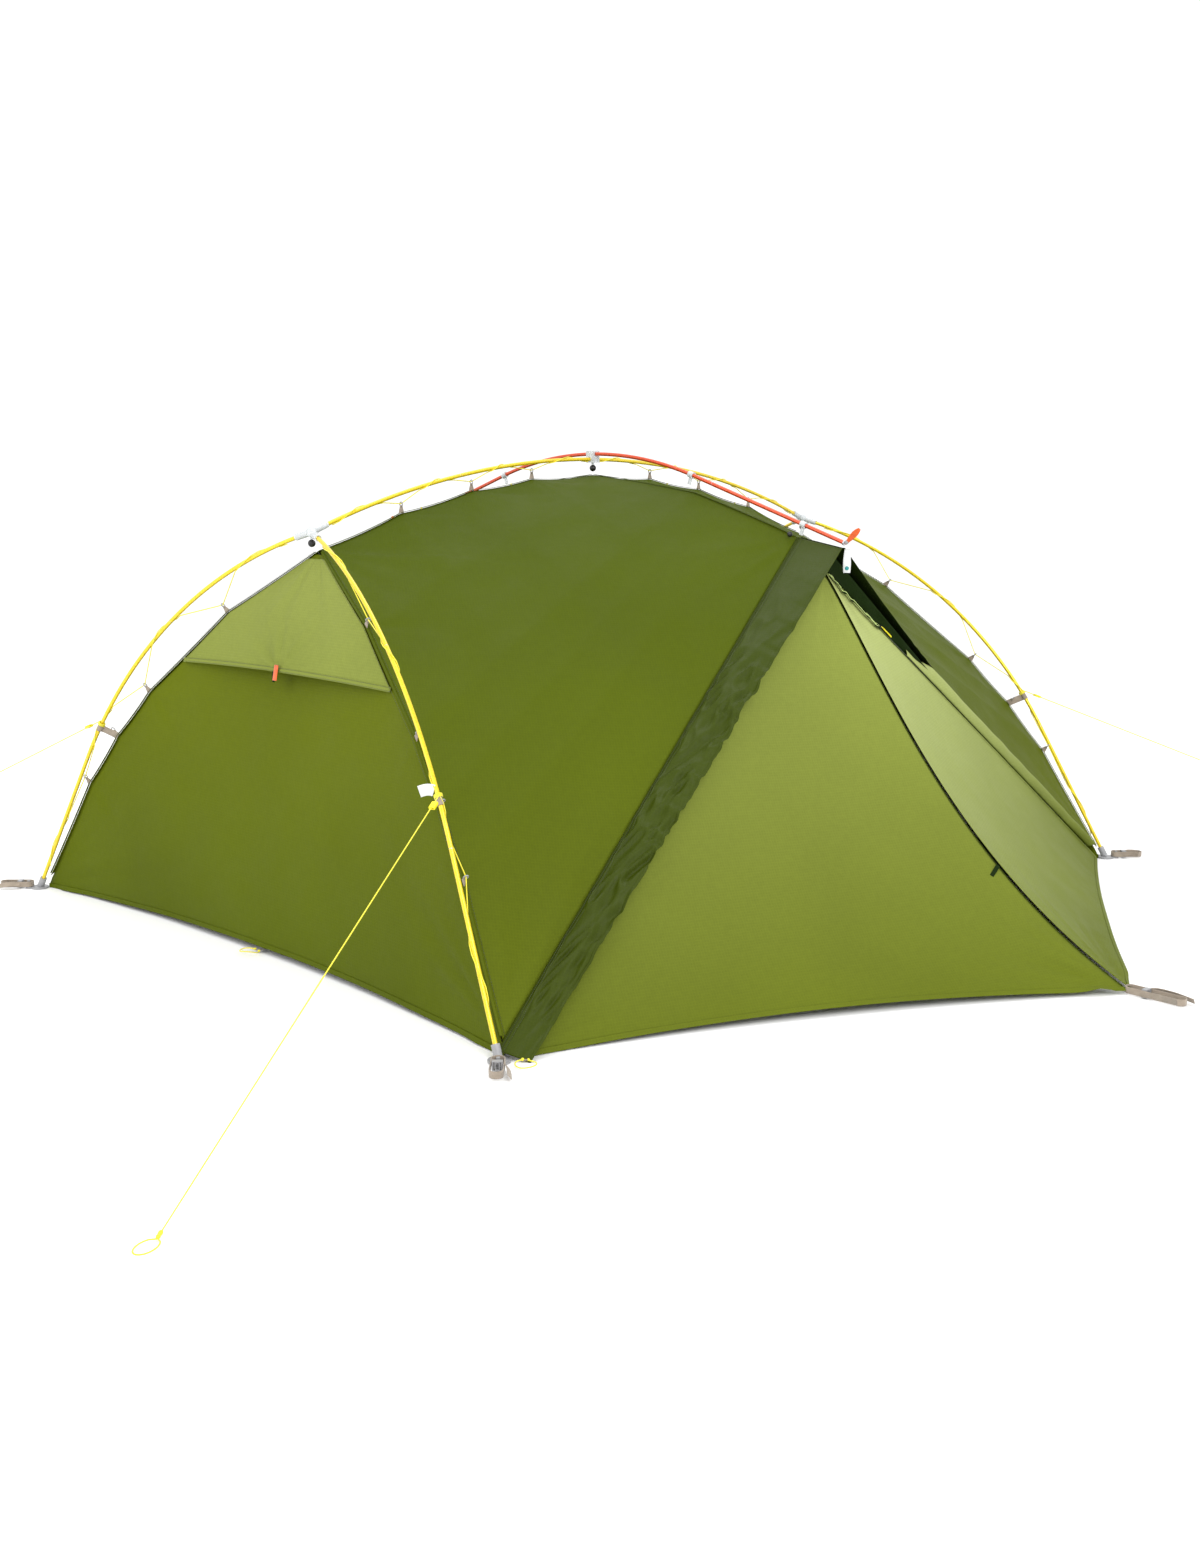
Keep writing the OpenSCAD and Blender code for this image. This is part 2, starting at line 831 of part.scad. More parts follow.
// A swept tube: one polyhedron with flat ends along a list of points.
module swept(pts, d, side) {
    n = len(pts) - 1;
    q = 8;
    rings = [for (i = [0 : n])
        let (
            t = unit(pts[min(i + 1, n)] - pts[max(i - 1, 0)]),
            a = unit(cross(side, t)),
            b = cross(t, a)
        )
        each [for (j = [0 : q - 1])
            pts[i] + (a * cos(360 * j / q) + b * sin(360 * j / q)) * d / 2]
    ];
    faces = concat(
        [[for (j = [0 : q - 1]) j]],
        [for (i = [0 : n - 1], j = [0 : q - 1])
            each tri_quad(i * q + (j + 1) % q, i * q + j,
                (i + 1) * q + j, (i + 1) * q + (j + 1) % q)],
        [[for (j = [q - 1 : -1 : 0]) n * q + j]]
    );
    polyhedron(points = rings, faces = faces, convexity = 10);
}

wrap_r = pole_r + line_d / 2 + 0.7;
wrap_n = 8;

// Points of one turn round a pole from length a to length b, from its underside.
function wrap(start, segs, a, b) =
    [for (i = [0 : wrap_n])
        let (
            p = pole_at(start, segs, mix(a, b, i / wrap_n)),
            f = 360 * i / wrap_n
        )
        [
            p[0] + wrap_r * cos(f) * sin(p[2]),
            p[1] - wrap_r * cos(f) * cos(p[2]),
            wrap_r * sin(f)
        ]
    ];

// Lacing in a pole's own plane: a wrap, a ring, a wrap, and so on.
function lacing_route(start, segs, stops, half, from, to) =
    let (n = len(stops))
    [for (k = [0 : n])
        let (
            a = k == 0 ? from : stops[k - 1][0] + half,
            b = k == n ? to : stops[k][0] - half
        )
        each concat(wrap(start, segs, a, b), k == n ? [] : [stops[k][1]])
    ];

// Ring positions of a leg in that leg's plane, with the pole length beside each.
// The seam runs beside the pole: on its +Z side where side is 1, on the other where -1.
function leg_stops(side) =
    [for (t = leg_tabs)
        let (
            p = leg_seam(1, 1, t) + leg_out(1, 1) * (ring_reach + 1),
            d = [foot_x - hub_x, foot_y] / leg_run,
            u = (foot_x - p[0]) * d[0] + (foot_y - p[1]) * d[1],
            across = (foot_x - p[0]) * d[1] - (foot_y - p[1]) * d[0]
        )
        [leg_total * (0.03 + 0.94 * t), [u, p[2], side * across]]
    ];

function ridge_stops(side) =
    [for (k = ridge_tabs)
        if (k * side > 0)
            let (p = ridge_tab(k))
            [ridge_total * (0.5 + k * 0.482), [p[0], p[2] + ring_reach + 1, 0]]
    ];

// Each half of the ridge has its own cord, which ends beside the centre clip.
module lacing_cords() {
    color(bright_yellow) {
        for (sx = [-1, 1], sy = [-1, 1])
            in_leg_plane(sx, sy)
                swept(lacing_route(leg_start, leg_segs, leg_stops(sx * sy), 110,
                    80, leg_total - 80), line_d, [0, 0, 1]);
        in_ridge_plane() {
            swept(lacing_route(ridge_start, ridge_segs, ridge_stops(-1), 58,
                62, ridge_total / 2 - 18), line_d, [0, 0, 1]);
            swept(lacing_route(ridge_start, ridge_segs, ridge_stops(1), 58,
                ridge_total / 2 + 18, ridge_total - 62), line_d, [0, 0, 1]);
        }
    }
}

// Elastic loops: two on the end hems and two beside the front and rear main panels.
module hem_loop(r) {
    rotate_extrude()
        translate([r, 0])
            circle(d = 2.6, $fn = 16);
}

module hem_loops() {
    color(bright_yellow)
        front_and_rear() {
            translate([-1147, 0, 10])
                rotate([0, -8, 0])
                    hem_loop(22);
            translate([-1184, -1010, 5])
                hem_loop(16);
        }
}

// Pull loop standing off each end of the cross pole.
module pole_end_loops() {
    color(orange)
        front_and_rear()
            translate([0, -cross_reach - 10, cross_end_z + 7])
                rotate([0, 0, -90])
                    rotate([90, -42, 0])
                        translate([0, 0, -6])
                            linear_extrude(height = 12)
                                strap_loop(26, 15, 1.5);
}

module apex_straps() {
    color([0.9, 0.9, 0.9])
        front_and_rear() {
            translate([-6, -860, 886])
                cube([12, 1.6, 52]);
            translate([0, -860.2, 894])
                rotate([90, 0, 0])
                    cylinder(d = 8, h = 2.4);
        }
}

// ---------- guy lines ----------

// A guy line starts on the upper side of its leg, over the wide tab.
function guy_from(sx, sy) =
    let (
        p = pole_at(leg_start, leg_segs, guy_share * leg_total),
        u = p[0] - guy_off * sin(p[2]),
        z = p[1] + guy_off * cos(p[2])
    )
    [
        sx * (foot_x - u * (foot_x - hub_x) / leg_run),
        sy * foot_y * (1 - u / leg_run),
        z
    ];

// Straight line to the ground that ends in a loop big enough for a stake.
function guy_route(a, b) =
    let (
        d = unit([b[0] - a[0], b[1] - a[1], 0]),
        s = [-d[1], d[0], 0],
        c = b + d * 26
    )
    concat(
        [for (t = steps(12)) mix(a, b, t)],
        [for (f = [40 : 40 : 320]) c - d * 26 * cos(f) - s * 16 * sin(f)],
        [b + s * 4 + d * 1]
    );

module guy_line(sx, sy, end) {
    color(bright_yellow)
        swept(guy_route(guy_from(sx, sy), end), line_d, [0, 0, 1]);
}

// Line adjuster: a small plate with two holes for the line.
module adjuster(sx, sy, end) {
    a = guy_from(sx, sy);
    color(bright_yellow)
        frame_at(mix(a, end, adjuster_at), end - a, [0, 0, 1])
            difference() {
                translate([-10, -4, -3])
                    cube([20, 12.5, 6]);
                for (y = [0, 5])
                    translate([0, y, 0])
                        rotate([0, 90, 0])
                            cylinder(d = line_d + 1, h = 30, center = true);
            }
}

// ---------- inner tent ----------

module floor_outline(inset) {
    square([floor_l - 2 * inset, floor_w - 2 * inset], center = true);
}

module inner_floor() {
    color(dark_green) {
        linear_extrude(height = 2)
            floor_outline(0);
        translate([0, 0, 2])
            linear_extrude(height = floor_h - 2)
                difference() {
                    floor_outline(0);
                    floor_outline(2);
                }
    }
}

function inner_ridge(sx, t) =
    let (x = inner_hub[0] * (1 - 2 * t))
    [sx * x, 0, inner_hub[2] + (inner_top_z - inner_hub[2]) * 4 * t * (1 - t)];

function inner_end(sx, u, v) =
    mix(
        flip(inner_hub, sx, 1) + [0, 0, -4],
        mix(flip(inner_corner, sx, 1), flip(inner_corner, sx, -1), u),
        v
    );

module inner_end_walls() {
    color(inner_grey)
        for (sx = [-1, 1])
            sheet([for (u = steps(4, 0.005, 0.995)) [for (v = steps(4, 0.03, 0.996))
                inner_end(sx, u, v)]], 1.8);
}

function inner_front(u, v) =
    mix(
        inner_ridge(-1, u) + [0, -5, 0],
        mix(flip(inner_corner, -1, -1), flip(inner_corner, 1, -1), u),
        v
    );

module inner_patch(ua, ub, va, vb) {
    sheet([for (u = steps(6, ua, ub)) [for (v = steps(4, va, vb))
        inner_front(u, v)]], 1.8);
}

// The wall leaves a doorway between two side pieces, a header and the floor's edge.
module inner_wall() {
    color(inner_grey) {
        inner_patch(0.004, door_u[0], 0.004, 0.997);
        inner_patch(door_u[1], 0.996, 0.004, 0.997);
        inner_patch(door_u[0] + 0.001, door_u[1] - 0.001, 0.004, door_v[0]);
    }
}

// The inner door is stowed as a roll, tied beside the doorway.
module inner_door() {
    top = inner_front(door_u[0] - 0.015, 0.27);
    low = inner_front(door_u[0] - 0.015, 0.93);
    out = unit(cross(low - top, [1, 0, 0]));
    color(inner_grey)
        frame_at(top + out * 34, low - top, out)
            rotate([0, 90, 0])
                cylinder(d = 56, h = norm(low - top));
}

// Toggles that hang the inner tent under the fly; gap is the space left at the fly.
module hanger(a, b, gap) {
    frame_at(a, b - a, [1, 0.1, 0])
        rotate([0, 90, 0])
            translate([0, 0, 3])
                cylinder(d = 4, h = norm(b - a) - 3 - gap);
}

module inner_hangers() {
    color(bright_yellow) {
        for (x = [-600, -300, 0, 300, 600])
            hanger(inner_ridge(-1, (inner_hub[0] + x) / (2 * inner_hub[0])),
                ridge_seam(sign(x), 1 - abs(x) / fly_hub[0]), 3);
        for (sx = [-1, 1], sy = [-1, 1])
            hanger(mix(flip(inner_hub, sx, sy), flip(inner_corner, sx, sy), 0.52),
                leg_seam(sx, sy, 0.5), 14);
    }
}

// ---------- selection ----------

leg_lower(-1, -1);  // leg_front_left_lower
leg_upper(-1, -1);  // leg_front_left_upper
leg_lower(1, -1);  // leg_front_right_lower
leg_upper(1, -1);  // leg_front_right_upper
leg_lower(-1, 1);  // leg_rear_left_lower
leg_upper(-1, 1);  // leg_rear_left_upper
leg_lower(1, 1);  // leg_rear_right_lower
leg_upper(1, 1);  // leg_rear_right_upper
ridge_pole_left();
ridge_pole_right();
cross_pole_front();
cross_pole_rear();
pole_ferrules();
shock_cords();
pole_tips();
hub(-1);  // hub_left
hub(1);  // hub_right
centre_clip();
cross_pole_clips();
canopy_balls();
corner_sockets();
corner_straps();
ladder_locks();
stake_straps();
roof(-1, -1);  // roof_front_left
roof(1, -1);  // roof_front_right
roof(-1, 1);  // roof_rear_left
roof(1, 1);  // roof_rear_right
end_wall(-1);  // end_wall_left
end_wall(1);  // end_wall_right
vent_hoods();
vestibule_main();  // vestibule_front_main
rotate([0, 0, 180]) vestibule_main();  // vestibule_rear_main
vestibule_door();  // vestibule_front_door
rotate([0, 0, 180]) vestibule_door();  // vestibule_rear_door
storm_flaps();
zip_strips();
zip_slider();  // zip_slider_front
rotate([0, 0, 180]) zip_slider();  // zip_slider_rear
zip_pull();  // zip_pull_front
rotate([0, 0, 180]) zip_pull();  // zip_pull_rear
hang_tabs();
tab_rings();
lacing_cords();
hem_loops();
pole_end_loops();
apex_straps();
guy_line(-1, -1, guy_front_left_end);  // guy_line_front_left
guy_line(-1, 1, guy_rear_left_end);  // guy_line_rear_left
guy_line(1, -1, guy_front_right_end);  // guy_line_front_right
adjuster(-1, -1, guy_front_left_end);  // adjuster_front_left
adjuster(-1, 1, guy_rear_left_end);  // adjuster_rear_left
adjuster(1, -1, guy_front_right_end);  // adjuster_front_right
inner_floor();
inner_end_walls();
inner_wall();  // inner_wall_front
rotate([0, 0, 180]) inner_wall();  // inner_wall_rear
inner_door();  // inner_door_front
rotate([0, 0, 180]) inner_door();  // inner_door_rear
inner_hangers();
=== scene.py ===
"""Looks of a hub-pole tent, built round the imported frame. Metres, +Z up, -Y is the front entrance."""

import math

import bpy
import numpy as np
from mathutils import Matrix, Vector


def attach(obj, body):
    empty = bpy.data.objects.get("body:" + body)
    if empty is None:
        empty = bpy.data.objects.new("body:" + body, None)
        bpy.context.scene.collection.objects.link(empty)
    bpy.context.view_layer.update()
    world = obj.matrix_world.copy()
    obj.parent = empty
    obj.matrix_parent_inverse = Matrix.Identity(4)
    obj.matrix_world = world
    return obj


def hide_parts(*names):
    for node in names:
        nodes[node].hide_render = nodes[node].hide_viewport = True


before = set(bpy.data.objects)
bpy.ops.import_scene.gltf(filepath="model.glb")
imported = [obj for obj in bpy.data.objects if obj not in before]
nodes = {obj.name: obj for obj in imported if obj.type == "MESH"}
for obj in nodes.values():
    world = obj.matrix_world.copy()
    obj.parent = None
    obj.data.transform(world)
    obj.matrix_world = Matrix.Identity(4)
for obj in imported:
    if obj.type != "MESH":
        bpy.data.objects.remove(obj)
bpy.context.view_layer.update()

# ---------- sizes: the frame's, but for the seam's dip, the hems and the near corner's foot ----------


def vec(*values):
    return np.array(values, float)


FOOT = vec(1.2, 0.95, 0.0)
HUB = vec(0.93, 0.0, 0.982)
FLY_FOOT = vec(1.178, 0.935, 0.028)
FLY_HUB = vec(0.908, 0.0, 0.940)
FLY_TOP = vec(0.0, 0.0, 1.115)
LEG_BOW = 0.115
CROSS_BOW = 0.033
CLIP_POINT = vec(0.0, -0.710, 0.965)
PEAK = vec(0.0, -0.845, 0.942)
DOOR_PEAK = vec(0.0, -0.790, 0.885)
STAKE = vec(0.050, -1.600, 0.015)
FLAP_FOOT = vec(-1.146, -0.992, 0.010)
MAIN_FOOT = vec(-1.140, -0.962, 0.010)
ZIP_FOOT = vec(1.146, -0.942, 0.024)
DOOR_FOOT = vec(1.138, -0.946, 0.016)
SEAM_GAP = vec(0.005, 0.0, 0.0)
HEM_RISE = 0.014
HOOD_END = 0.39
END_HEM_BOW = 0.060
MAIN_HEM_BOW = 0.050
DOOR_HEM_BOW = 0.020
SEAM_DIP = 0.085
SLIDER_AT = 0.17
FLAP_END = 0.45
COVER_FROM = 0.26
CROSS_END = vec(0.0, -0.852, 0.954)
LEG_TABS = (0.24, 0.50, 0.76)
GUY_TAB = 0.37
RIDGE_TABS = (-0.73, -0.48, -0.25, 0.25, 0.48, 0.73)
RING_REACH = 0.022
STRAP_W = 0.015
LINE_D = 0.0025
CLOTH_THICK = 0.0008
GUY_ENDS = {
    "front_left": (-1, -1, vec(-2.050, -1.150, 0.004)),
    "rear_left": (-1, 1, vec(-1.320, 1.869, 0.004)),
    "front_right": (1, -1, vec(2.215, -1.313, 0.004)),
}
INNER_HUB = vec(0.820, 0.0, 0.850)
INNER_TOP = 1.030
INNER_CORNER = vec(1.092, 0.862, 0.134)
FLOOR_HALF = vec(1.095, 0.865, 0.130)
DOORWAY_U = (0.34, 0.66)
DOORWAY_V = (0.22, 0.97)
UP = vec(0.0, 0.0, 1.0)
ENDS = (("front", 1), ("rear", -1))
SIDES = (("left", -1), ("right", 1))
QUARTERS = (("front_left", -1, -1), ("front_right", 1, -1), ("rear_left", -1, 1), ("rear_right", 1, 1))

# ---------- camera ----------

CAMERA_AT = (-3.1466, -3.1661, 1.1045)
CAMERA_YAW = 0.7867
CAMERA_DOWN = 0.1854
CAMERA_LENS = 37.05


def make_camera():
    data = bpy.data.cameras.new("camera")
    data.lens = CAMERA_LENS
    data.sensor_width = 36.0
    data.clip_end = 200.0
    camera = bpy.data.objects.new("camera", data)
    camera.location = CAMERA_AT
    camera.rotation_euler = (math.pi / 2 - CAMERA_DOWN, 0.0, -CAMERA_YAW)
    bpy.context.scene.collection.objects.link(camera)
    bpy.context.scene.camera = camera


make_camera()

# ---------- vectors and curves ----------


def unit(v):
    return v / np.maximum(np.linalg.norm(v, axis=-1, keepdims=True), 1e-12)


def mix(a, b, t):
    t = np.asarray(t, float)[..., None]
    return a * (1 - t) + b * t


def flip(p, sx, sy):
    return p * vec(sx, sy, 1)


def chord_up(a, b):
    along = unit(b - a)
    return unit(UP - along * along[2])


def bow(a, b, rise, t):
    t = np.asarray(t, float)
    return mix(a, b, t) + chord_up(a, b) * (4 * rise * t * (1 - t))[..., None]


def scallop(t, stops, depth):
    """How far an edge dips between the places that hold it; wide gaps dip more."""
    t = np.asarray(t, float)
    usual = (stops[-1] - stops[0]) / (len(stops) - 1)
    dip = np.zeros_like(t)
    for a, b in zip(stops[:-1], stops[1:]):
        s = np.clip((t - a) / (b - a), 0, 1)
        dip += depth * (b - a) / usual * 4 * s * (1 - s)
    return dip


def leg_out(sx, sy):
    return chord_up(flip(FLY_FOOT, sx, sy), flip(FLY_HUB, sx, sy))


def leg_along(sx, sy):
    return unit(flip(FLY_HUB, sx, sy) - flip(FLY_FOOT, sx, sy))


def leg_seam(sx, sy, t):
    dip = scallop(t, (0.0, 0.24, 0.37, 0.50, 0.76, 1.0), 0.007)
    seam = bow(flip(FLY_FOOT, sx, sy), flip(FLY_HUB, sx, sy), LEG_BOW, t)
    return seam - leg_out(sx, sy) * dip[..., None]


def ridge_seam(sx, t):
    t = np.asarray(t, float)
    x = sx * FLY_HUB[0] * (1 - t)
    z = FLY_HUB[2] + (FLY_TOP[2] - FLY_HUB[2]) * (1 - (1 - t) ** 2)
    z = z - scallop(t, (0.0, 0.27, 0.52, 0.75, 1.0), 0.008)
    return np.stack([x, np.zeros_like(x), z], -1)


def cross_seam(sy, t):
    seam = bow(FLY_TOP, flip(CLIP_POINT, 1, -sy), CROSS_BOW, t)
    return seam - UP * scallop(t, (0.0, 0.507, 1.0), 0.006)[..., None]


def shares(n, a=0.0, b=1.0):
    return np.linspace(a, b, n)


def params(nu, nv, u=(0.0, 1.0), v=(0.0, 1.0)):
    return np.meshgrid(shares(nu, *u), shares(nv, *v), indexing="ij")


# A leg pole runs straight from its foot, then in one bend to its hub.
LEG_RUN = math.hypot(FOOT[0] - HUB[0], FOOT[1])
LEG_CHORD = math.hypot(LEG_RUN, HUB[2])
LEG_FOOT_TURN = math.radians(16.0)
LEG_TURN = math.radians(45.3)
LEG_BEND = 1.260
LEG_HEADING = math.atan2(HUB[2], LEG_RUN) + LEG_FOOT_TURN
LEG_TANGENT = LEG_BEND * math.tan(LEG_TURN / 2)
LEG_LOW = LEG_CHORD * math.sin(LEG_TURN - LEG_FOOT_TURN) / math.sin(LEG_TURN) - LEG_TANGENT
LEG_HIGH = LEG_CHORD * math.sin(LEG_FOOT_TURN) / math.sin(LEG_TURN) - LEG_TANGENT
LEG_TOTAL = LEG_LOW + LEG_BEND * LEG_TURN + LEG_HIGH
GUY_AT = 0.379 * LEG_TOTAL
GUY_OFF = 0.010


def leg_pole(sx, sy, s, off=0.0):
    """Point at length s from a leg's foot, moved off to its upper side, and the pole's direction."""
    turn = max(s - LEG_LOW, 0.0) / LEG_BEND
    heading = LEG_HEADING - turn
    run = min(s, LEG_LOW) * math.cos(LEG_HEADING) + LEG_BEND * (math.sin(LEG_HEADING) - math.sin(heading))
    rise = min(s, LEG_LOW) * math.sin(LEG_HEADING) - LEG_BEND * (math.cos(LEG_HEADING) - math.cos(heading))
    run -= off * math.sin(heading)
    rise += off * math.cos(heading)
    plan = vec(-sx * (FOOT[0] - HUB[0]), -sy * FOOT[1], 0) / LEG_RUN
    point = flip(FOOT, sx, sy) + plan * run + UP * rise
    return point, plan * math.cos(heading) + UP * math.sin(heading)


ZIP_ALONG = unit(ZIP_FOOT - DOOR_PEAK)
ZIP_OUT = unit(np.cross(STAKE - DOOR_PEAK, DOOR_FOOT - DOOR_PEAK))
ZIP_SIDE = np.cross(ZIP_OUT, ZIP_ALONG)
SEAM_IN = unit(np.cross(vec(1, 0, 0), STAKE - DOOR_PEAK))


def zip_points(v, side, out):
    """Points beside the zip: side is away from the door, out is off the door's face."""
    side, out = np.broadcast_arrays(side, out, v)[:2]
    return mix(DOOR_PEAK, ZIP_FOOT, v) + ZIP_SIDE * side[..., None] + ZIP_OUT * out[..., None]


def at_slider(x, side, out):
    return mix(DOOR_PEAK, ZIP_FOOT, SLIDER_AT) + ZIP_ALONG * x + ZIP_SIDE * side + ZIP_OUT * out


def roof_points(sx, sy, u, v):
    hub = flip(FLY_HUB, sx, sy)
    foot = flip(FLY_FOOT, sx, sy)
    clip = flip(CLIP_POINT, 1, -sy)
    across = mix(leg_seam(sx, sy, 1 - v), cross_seam(sy, v), u)
    down = mix(ridge_seam(sx, u), mix(foot, clip, u), v)
    corners = mix(mix(hub, FLY_TOP, u), mix(foot, clip, u), v)
    return across + down - corners


def end_points(sx, u, v):
    rise = 4 * HEM_RISE * u * (1 - u) * v**6 - 0.003
    inward = -sx * (0.003 + END_HEM_BOW * 4 * u * (1 - u) * v**2)
    shift = np.stack([inward, np.zeros_like(inward), rise], -1)
    return mix(leg_seam(sx, 1, 1 - v), leg_seam(sx, -1, 1 - v), u) + shift


def fan_points(top, a, b, u, v, w, hem_bow):
    """A triangle from its top to a bowed hem; w is how far a point follows the dipping middle seam."""
    arch = 4 * u * (1 - u)
    inward = unit(vec(a[1] - b[1], b[0] - a[0], 0)) * hem_bow
    rise = UP * (HEM_RISE * arch * v**4)[..., None]
    low = v**1.3
    dip = SEAM_IN * (SEAM_DIP * 4 * low * (1 - low) * w)[..., None]
    return mix(top, mix(a, b, u), v) + rise + dip + inward * (arch * v**3)[..., None]


def flap_share(sx, v):
    """The flap beside the door tapers away from the peak."""
    return np.ones_like(v) if sx < 0 else 1 - 0.85 * np.minimum(1, v / FLAP_END)


def flap_points(sx, u, v):
    p = mix(
        mix(CLIP_POINT, flip(FLY_FOOT, -1, -1), v),
        mix(PEAK, FLAP_FOOT, v),
        u * flap_share(sx, v),
    )
    p[..., 0] = sx * (-p[..., 0] + 0.0024)
    return p


def strip_points(u, v):
    inner = zip_points(v, 0.0095, 0.0015)
    outer = zip_points(v, 0.013 - 0.003 * v, 0.0085 + 0.0325 * np.clip(1 - v / 0.42, 0, 1))
    return mix(inner, outer, u)


# ---------- folds and creases ----------


def noise1(x, seed):
    table = np.random.RandomState(seed).uniform(-1, 1, 256)
    i = np.floor(x).astype(int)
    f = x - i
    f = f * f * (3 - 2 * f)
    return table[i % 256] * (1 - f) + table[(i + 1) % 256] * f


def noise2(x, y, seed):
    table = np.random.RandomState(seed).uniform(-1, 1, (64, 64))
    i, j = np.floor(x).astype(int), np.floor(y).astype(int)
    f, g = x - i, y - j
    f, g = f * f * (3 - 2 * f), g * g * (3 - 2 * g)
    low = table[i % 64, j % 64] * (1 - f) + table[(i + 1) % 64, j % 64] * f
    high = table[i % 64, (j + 1) % 64] * (1 - f) + table[(i + 1) % 64, (j + 1) % 64] * f
    return low * (1 - g) + high * g


def grid_normals(points):
    du = np.gradient(points, axis=0)
    dv = np.gradient(points, axis=1)
    return unit(np.cross(du, dv))


def outward(points):
    """Normals of a grid, all on the side away from the middle of the tent."""
    n = grid_normals(points)
    away = (n * (points - vec(0, 0, 0.2))).sum(-1).mean()
    return n if away > 0 else -n


def rays(points, anchor, reach, height, count, seed):
    """Tension folds that run out from an anchor and fade with distance."""
    normal = unit(outward(points).mean((0, 1)))
    side = unit(np.cross(normal, vec(0.31, 0.22, 0.93)))
    other = np.cross(normal, side)
    d = points - anchor
    far = np.linalg.norm(d, axis=-1)
    angle = np.arctan2(d @ other, d @ side)
    fade = np.exp(-((far / reach) ** 2)) * np.clip(far / (0.3 * reach), 0, 1)
    return height * fade * noise1((angle + math.pi) * count, seed)


def held_edges(u, v, sides="uUvV", width=0.05):
    """1 inside a panel, falling to 0 at its sewn sides: u at u=0, U at u=1, v at v=0, V at v=1."""
    hold = np.ones_like(u)
    for side, distance in (("u", u), ("U", 1 - u), ("v", v), ("V", 1 - v)):
        if side in sides:
            hold = hold * np.clip(distance / width, 0, 1)
    return hold


# ---------- materials ----------


def node(tree, kind, inputs=None, **settings):
    made = tree.nodes.new("ShaderNode" + kind)
    for name, value in settings.items():
        setattr(made, name, value)
    for name, value in (inputs or {}).items():
        if isinstance(value, bpy.types.NodeSocket):
            tree.links.new(value, made.inputs[name])
        else:
            made.inputs[name].default_value = value
    return made


def calc(tree, operation, a, b=0.0):
    return node(tree, "Math", {0: a, 1: b}, operation=operation).outputs[0]


def spread(tree, value, low, high, start=0.0, end=1.0):
    """value, taken from start..end to low..high."""
    inputs = {"Value": value, "From Min": start, "From Max": end, "To Min": low, "To Max": high}
    return node(tree, "MapRange", inputs).outputs[0]


def wave(tree, vector, period, direction):
    scale = 2 * math.pi / 20 / period
    made = node(tree, "TexWave", {"Vector": vector, "Scale": scale}, bands_direction=direction)
    return made.outputs[1]


def noise(tree, vector, scale, detail=3.0):
    return node(tree, "TexNoise", {"Vector": vector, "Scale": scale, "Detail": detail}).outputs[0]


def times(tree, a, b):
    return calc(tree, "MULTIPLY", a, b)


def coloured(tree, shader, colour, value):
    """Sets the shader's colour, made lighter or darker by value."""
    tinted = node(tree, "HueSaturation", {"Color": colour, "Value": value}).outputs[0]
    tree.links.new(tinted, shader.inputs["Base Color"])


def blended(tree, a, b, factor):
    inputs = {0: factor, 6: a, 7: b}
    return node(tree, "Mix", inputs, data_type="RGBA").outputs[2]


def srgb(r, g, b):
    """A colour seen on screen, 0 to 255, as a shader colour."""
    c = np.array([r, g, b]) / 255
    linear = np.where(c <= 0.04045, c / 12.92, ((c + 0.055) / 1.055) ** 2.4)
    return (*(float(x) for x in linear), 1.0)


def new_material(name, **sockets):
    material = bpy.data.materials.new(name)
    material.use_nodes = True
    tree = material.node_tree
    shader = tree.nodes["Principled BSDF"]
    place = node(tree, "TexCoord").outputs["Object"]
    for socket, value in sockets.items():
        shader.inputs[socket.replace("_", " ")].default_value = value
    return material, tree, shader, place


def bumped(tree, shader, height, distance, strength=1.0):
    inputs = {"Height": height, "Distance": distance, "Strength": strength}
    bump = node(tree, "Bump", inputs)
    tree.links.new(bump.outputs[0], shader.inputs["Normal"])


def cloth_material(name, low, high, rough=0.6, top=1.1, weave=1.0, gloss=0.07):
    """Ripstop weave with soft tone changes; low and high are its tones near the ground and at the top, a
    painted light-and-shade gradient with height.
    """
    material, tree, shader, place = new_material(name, Specular_IOR_Level=gloss)
    uv = node(tree, "UVMap").outputs[0]
    height = node(tree, "SeparateXYZ", {0: place}).outputs[2]
    # painted light and shade: the colour runs from the low tone at the ground to the high tone at the top
    base = blended(tree, srgb(*low), srgb(*high), spread(tree, height, 0, 1, 0.0, top))
    ribs = [calc(tree, "POWER", wave(tree, uv, 0.0065, way), 9.0) for way in "XY"]
    grid = calc(tree, "MAXIMUM", *ribs)
    clouds = spread(tree, noise(tree, place, 2.2, 4.0), 0.93, 1.07, 0.3, 0.7)
    flecks = spread(tree, noise(tree, place, 90.0, 2.0), 0.97, 1.03, 0.3, 0.7)
    lines = spread(tree, grid, 1.0, 1.0 + 0.10 * weave)
    value = times(tree, times(tree, clouds, flecks), lines)
    coloured(tree, shader, base, value)
    shine = spread(tree, noise(tree, place, 9.0), rough - 0.06, rough + 0.06, 0.3, 0.7)
    tree.links.new(shine, shader.inputs["Roughness"])
    threads = times(tree, wave(tree, uv, 0.0009, "X"), wave(tree, uv, 0.0009, "Y"))
    crumple = times(tree, noise(tree, place, 38.0, 4.0), 2.2)
    relief = calc(tree, "ADD", times(tree, threads, 0.15), crumple)
    relief = calc(tree, "ADD", relief, times(tree, grid, 0.35))
    bumped(tree, shader, relief, 0.0007, 0.55)
    return material


